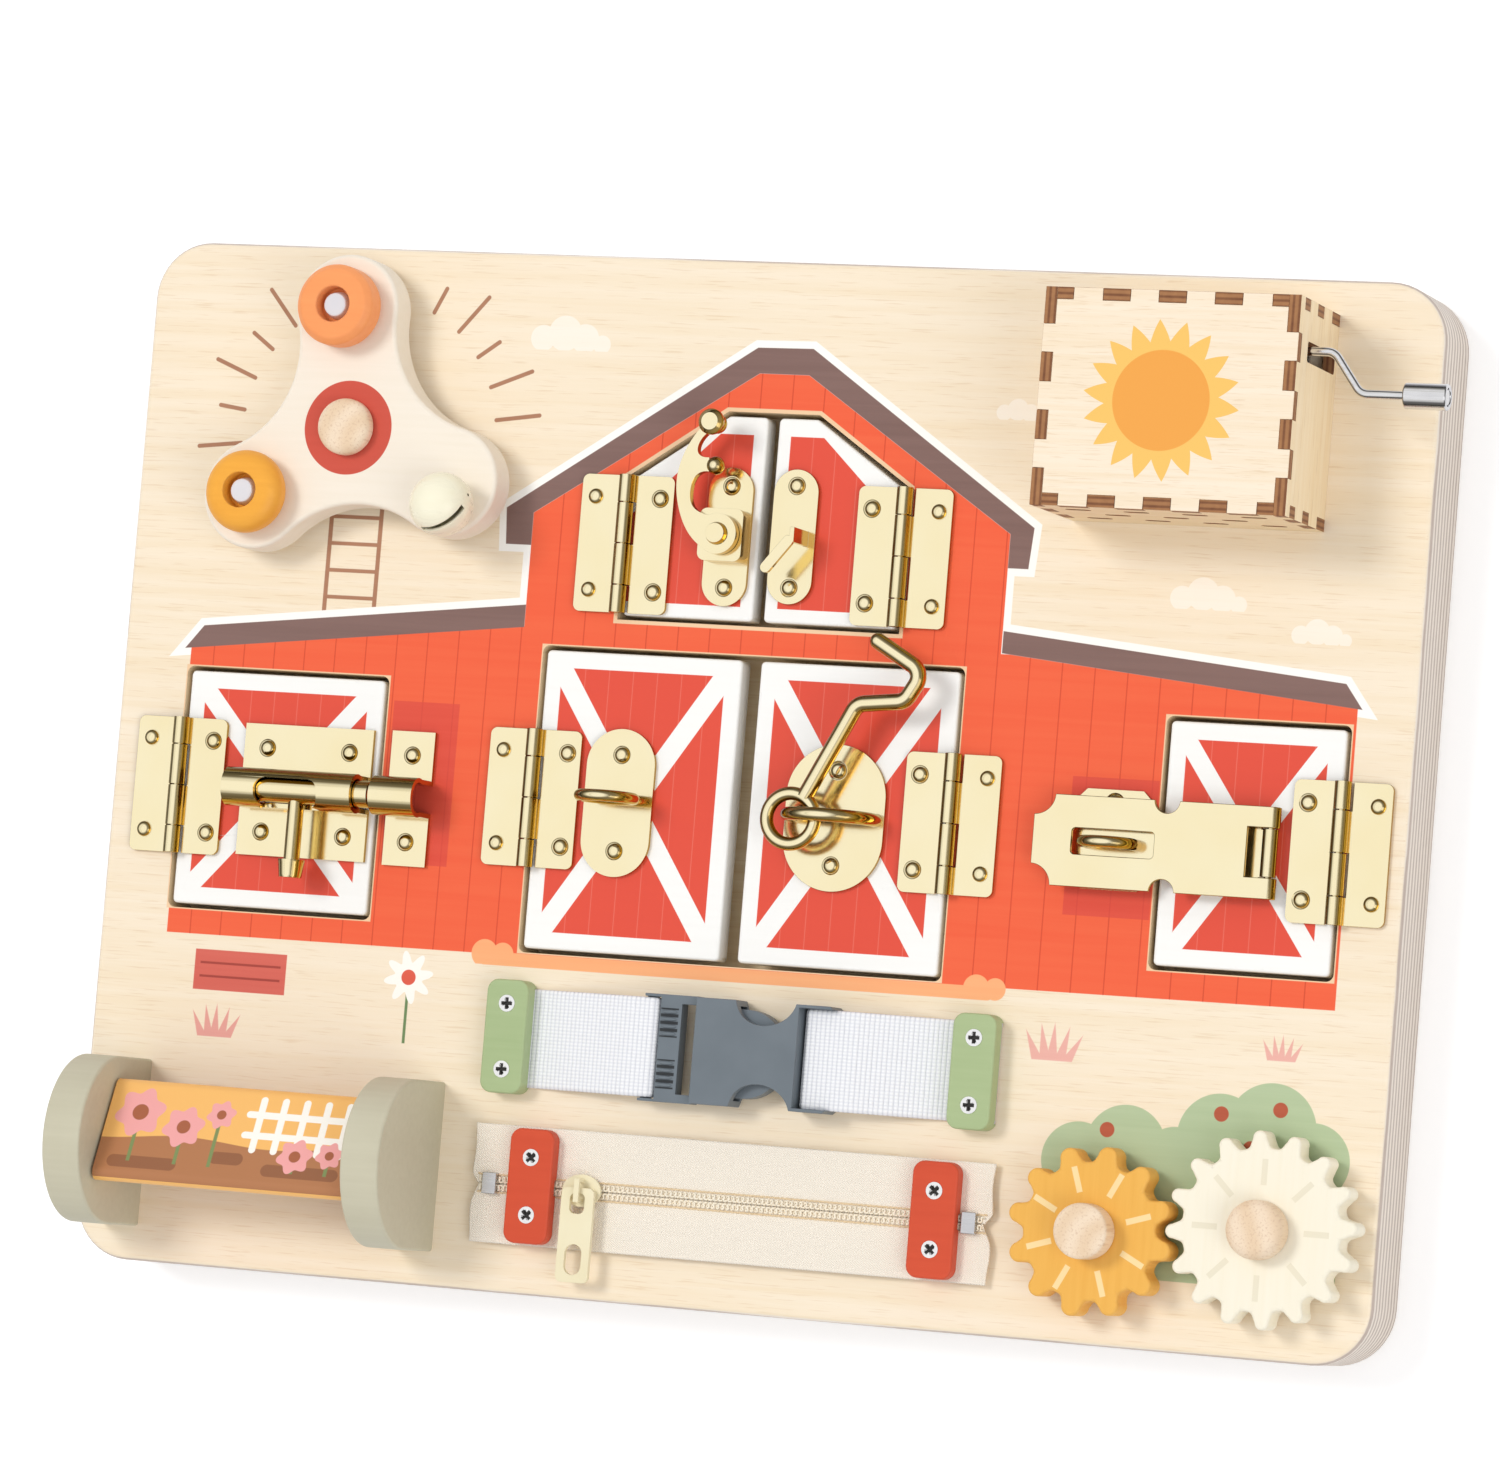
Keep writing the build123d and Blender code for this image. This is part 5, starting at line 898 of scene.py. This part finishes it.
# ------------------------------------------------------------------ strap and buckle
softened("strap_blocks", 0.3, satin_paint("sage_satin", "ADBE8E", "98AE7A", 0.5), "sage_paint",
         "sage_strap_blocks")
softened("block_screws", 0.15, screw_heads(), "steel", "cross_head_screws")
buckle_grey = ("757E85", "646D74", 0.42, 0.02)
buckle = moulded("buckle_grey", *buckle_grey)
softened("buckle_clip", 0.5, moulded("buckle_grey_groove_shaded", *buckle_grey, clip_groove_shade),
         "buckle_plastic", "buckle_prongs", 3)
softened("buckle_socket", 0.6, buckle, "buckle_plastic", "buckle_body", 3)

# ------------------------------------------------------------------ zipper
softened("zipper_blocks", 0.3, satin_paint("brick_satin", "D5502F", "C24228", 0.5), "brick_paint",
         "brick_zip_blocks")
softened("zipper_end_stops", 0.2, zinc, "steel", "zip_metal_stops")
zip_cream = moulded("zip_cream_enamel", "F4EBCB", "E9DDB6", 0.3, 0.004)
softened("zipper_slider", 0.3, zip_cream, "zip_plastic", "zip_slider_body", 3)
softened("zipper_pull", 0.45, zip_cream, "zip_plastic", "zip_pull_tab", 3)


# ------------------------------------------------------------------ webbing and the clip's ribs
def rounded_run(corners, step=0.22, blur=9):
    """Points along straight runs, with a running mean that rounds the corners."""
    corners = np.array(corners, float)
    far = lengths(corners)
    at = np.linspace(0.0, far[-1], int(far[-1] / step))
    run = np.stack([np.interp(at, far, column) for column in corners.T], 1)
    pad = np.pad(run, ((blur, blur), (0, 0)), mode="edge")
    pad[:blur] = 2 * run[0] - run[1:blur + 1][::-1]
    pad[-blur:] = 2 * run[-1] - run[-blur - 1:-1][::-1]
    mean = np.ones(2 * blur + 1) / (2 * blur + 1)
    return np.stack([np.convolve(column, mean, "valid") for column in pad.T], 1)


def webbing_band(name, corners, node, folds=False):
    """Path point + way across, lifted off the path by |sine| along it times a faint sine across."""
    run = rounded_run(corners)
    along = directions(run)
    normal = np.stack([-along[:, 1], along[:, 0]], 1) * np.sign(along[:, :1].mean())
    half, rise, selvedge, droop = 12.3, 0.16, 0.7, 0.25
    s, v = np.meshgrid(lengths(run), np.linspace(-half, half, 100), indexing="ij")
    rib = rise * np.abs(np.sin(np.pi * s / RIB)) * (0.8 + 0.2 * np.sin(TURN * v / YARN))
    edge = np.clip((half - np.abs(v)) / selvedge, 0, 1)
    lift = rib * edge - droop * (1 - edge) ** 2
    out = run[:, None] + normal[:, None] * lift[..., None]
    points = np.stack([out[..., 0], STRAP_Y + v, FACE + out[..., 1]], -1)
    sizes = np.stack([v, s], -1)
    if along[:, 0].mean() < 0:
        points, sizes = points[::-1], sizes[::-1]
    piece = shown(name, grid_mesh(name, points, sizes=sizes), body_of_node[node], webbing_cloth,
                  "webbing", node)
    thickened(piece, 1.1)
    if folds:
        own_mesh(piece)


webbing_cloth = woven("white_webbing", "FFFFFF", "CDD0DA", ribbed)
low, over = 0.85, 6.2       # on the board, and over a buckle's bar
webbing_band("webbing_clip_side", [(-61.5, low), (-47.1, low), (-22.3, over), (-14.9, over),
                                   (-14.9, low), (-25.3, low)], "webbing_left", folds=True)
webbing_band("webbing_socket_side", [(75.0, low), (60.6, low), (37.4, over), (25.2, over),
                                     (25.2, low), (40.4, low)], "webbing_right")


def grip_rib(number):
    """A rib across the clip: an oval round a line, that swells from its ends by a root of sine."""
    half, rise, level = 0.55, 0.75, FACE + 6.95
    u, v = np.meshgrid(np.linspace(0, TURN, 12, endpoint=False), np.linspace(0, 1, 6), indexing="ij")
    swell = np.sin(np.pi * v) ** 0.5
    points = np.stack([GRIP_LEFT + (GRIP_RIGHT - GRIP_LEFT) * v,
                       STRAP_Y + GRIP_PITCH * number + half * np.cos(u) * swell,
                       level + rise * np.sin(u) * swell], -1)
    return grid_mesh("rib", points, close_u=True)


ribs = [grip_rib(number) for number in (*range(-5, -1), *range(2, 6))]
shown("clip_grip_ribs", joined("clip_grip_ribs", ribs), "clip", buckle, "buckle_plastic")


# ------------------------------------------------------------------ zip tape, coil and sewn edges
def zip_tape(name, side):
    """Half of the tape: x and the way out from the middle, raised by slow waves and a fine twill."""
    start, long, inner, wide = -63.0, 139.6, 0.04, 15.1
    u, v = np.meshgrid(np.linspace(0.0, 1.0, 420), np.linspace(0.0, 1.0, 36), indexing="ij")
    out = inner + wide * v
    # the cut ends wave, and dip in beside the coil
    notch = 1.8 * np.exp(-(v / (0.10 if side > 0 else 0.22)) ** 2)
    ends = (0.3 * np.sin(6.0 * v + side) - notch) * np.where(u > 0.5, 1.0, -0.8)
    x = start + long * u + ends * (np.abs(u - 0.5) * 2) ** 24
    wave = 0.10 * np.sin(x * 0.21 + side) * v ** 2 + 0.05 * np.sin(x * 0.9) * v
    twill = 0.03 * np.sin(TURN * (x + 1.2 * np.abs((out / ZIGZAG) % 1.0 - 0.5)) / 1.1)
    points = np.stack([x, ZIP_Y + side * out, FACE + 2.12 + wave + twill], -1)
    sizes = np.stack([out, x], -1)
    return grid_mesh(name, points[:, ::side], sizes=sizes[:, ::side])


def coil_chain(side):
    """Teeth of one side: a helix of flattened turns, x = turn count times pitch."""
    start, long, pitch, middle, samples = -60.8, 135.4, 1.3, 1.0, 1215
    turn = np.linspace(0.0, TURN * long / pitch, samples)
    path = np.stack([start + turn / TURN * pitch + 0.25 * np.sin(2 * turn),
                     ZIP_Y + side * (middle + 0.62 * np.cos(turn)),
                     FACE + 2.86 + 0.36 * np.sin(turn)], -1)
    return grid_mesh("chain", tube_points(path, 0.26, 6, up=(0.05, 0.02, 1.0)), close_v=True)


def sewn_edge(side):
    """Cord along the outer edge of the teeth, which bobs out and up by a small sine at each stitch."""
    x = np.linspace(-61.5, 75.5, 600)
    stitch = np.sin(x * 4.8)
    path = np.stack([x, ZIP_Y + side * (2.25 + 0.05 * stitch), FACE + 2.5 + 0.07 * stitch], -1)
    return grid_mesh("cord", tube_points(path, 0.22, 6), close_v=True)


coil = shown("zip_coil", joined("zip_coil", [coil_chain(-1), coil_chain(1)]), "board",
             satin_paint("coil_thread", "FFF6E2", "F8E4C6", 0.5, 0.01), "zip_tape")
edging = shown("zip_sewn_edges", joined("zip_sewn_edges", [sewn_edge(-1), sewn_edge(1)]), "board",
               satin_paint("edge_cord", "EAD2AC", "D9BD92", 0.6, 0.01), "zip_tape")
tape_cloth = woven("zip_tape_cloth", "FFFCF0", "FCEBD6", zigzag_twill)
for name, side, stood_for in (("zip_tape_lower", -1, []), ("zip_tape_upper", 1, ["zipper_tapes"])):
    piece = shown(name, zip_tape(name, side), "board", tape_cloth, "zip_tape", *stood_for)
    thickened(piece, 0.5)
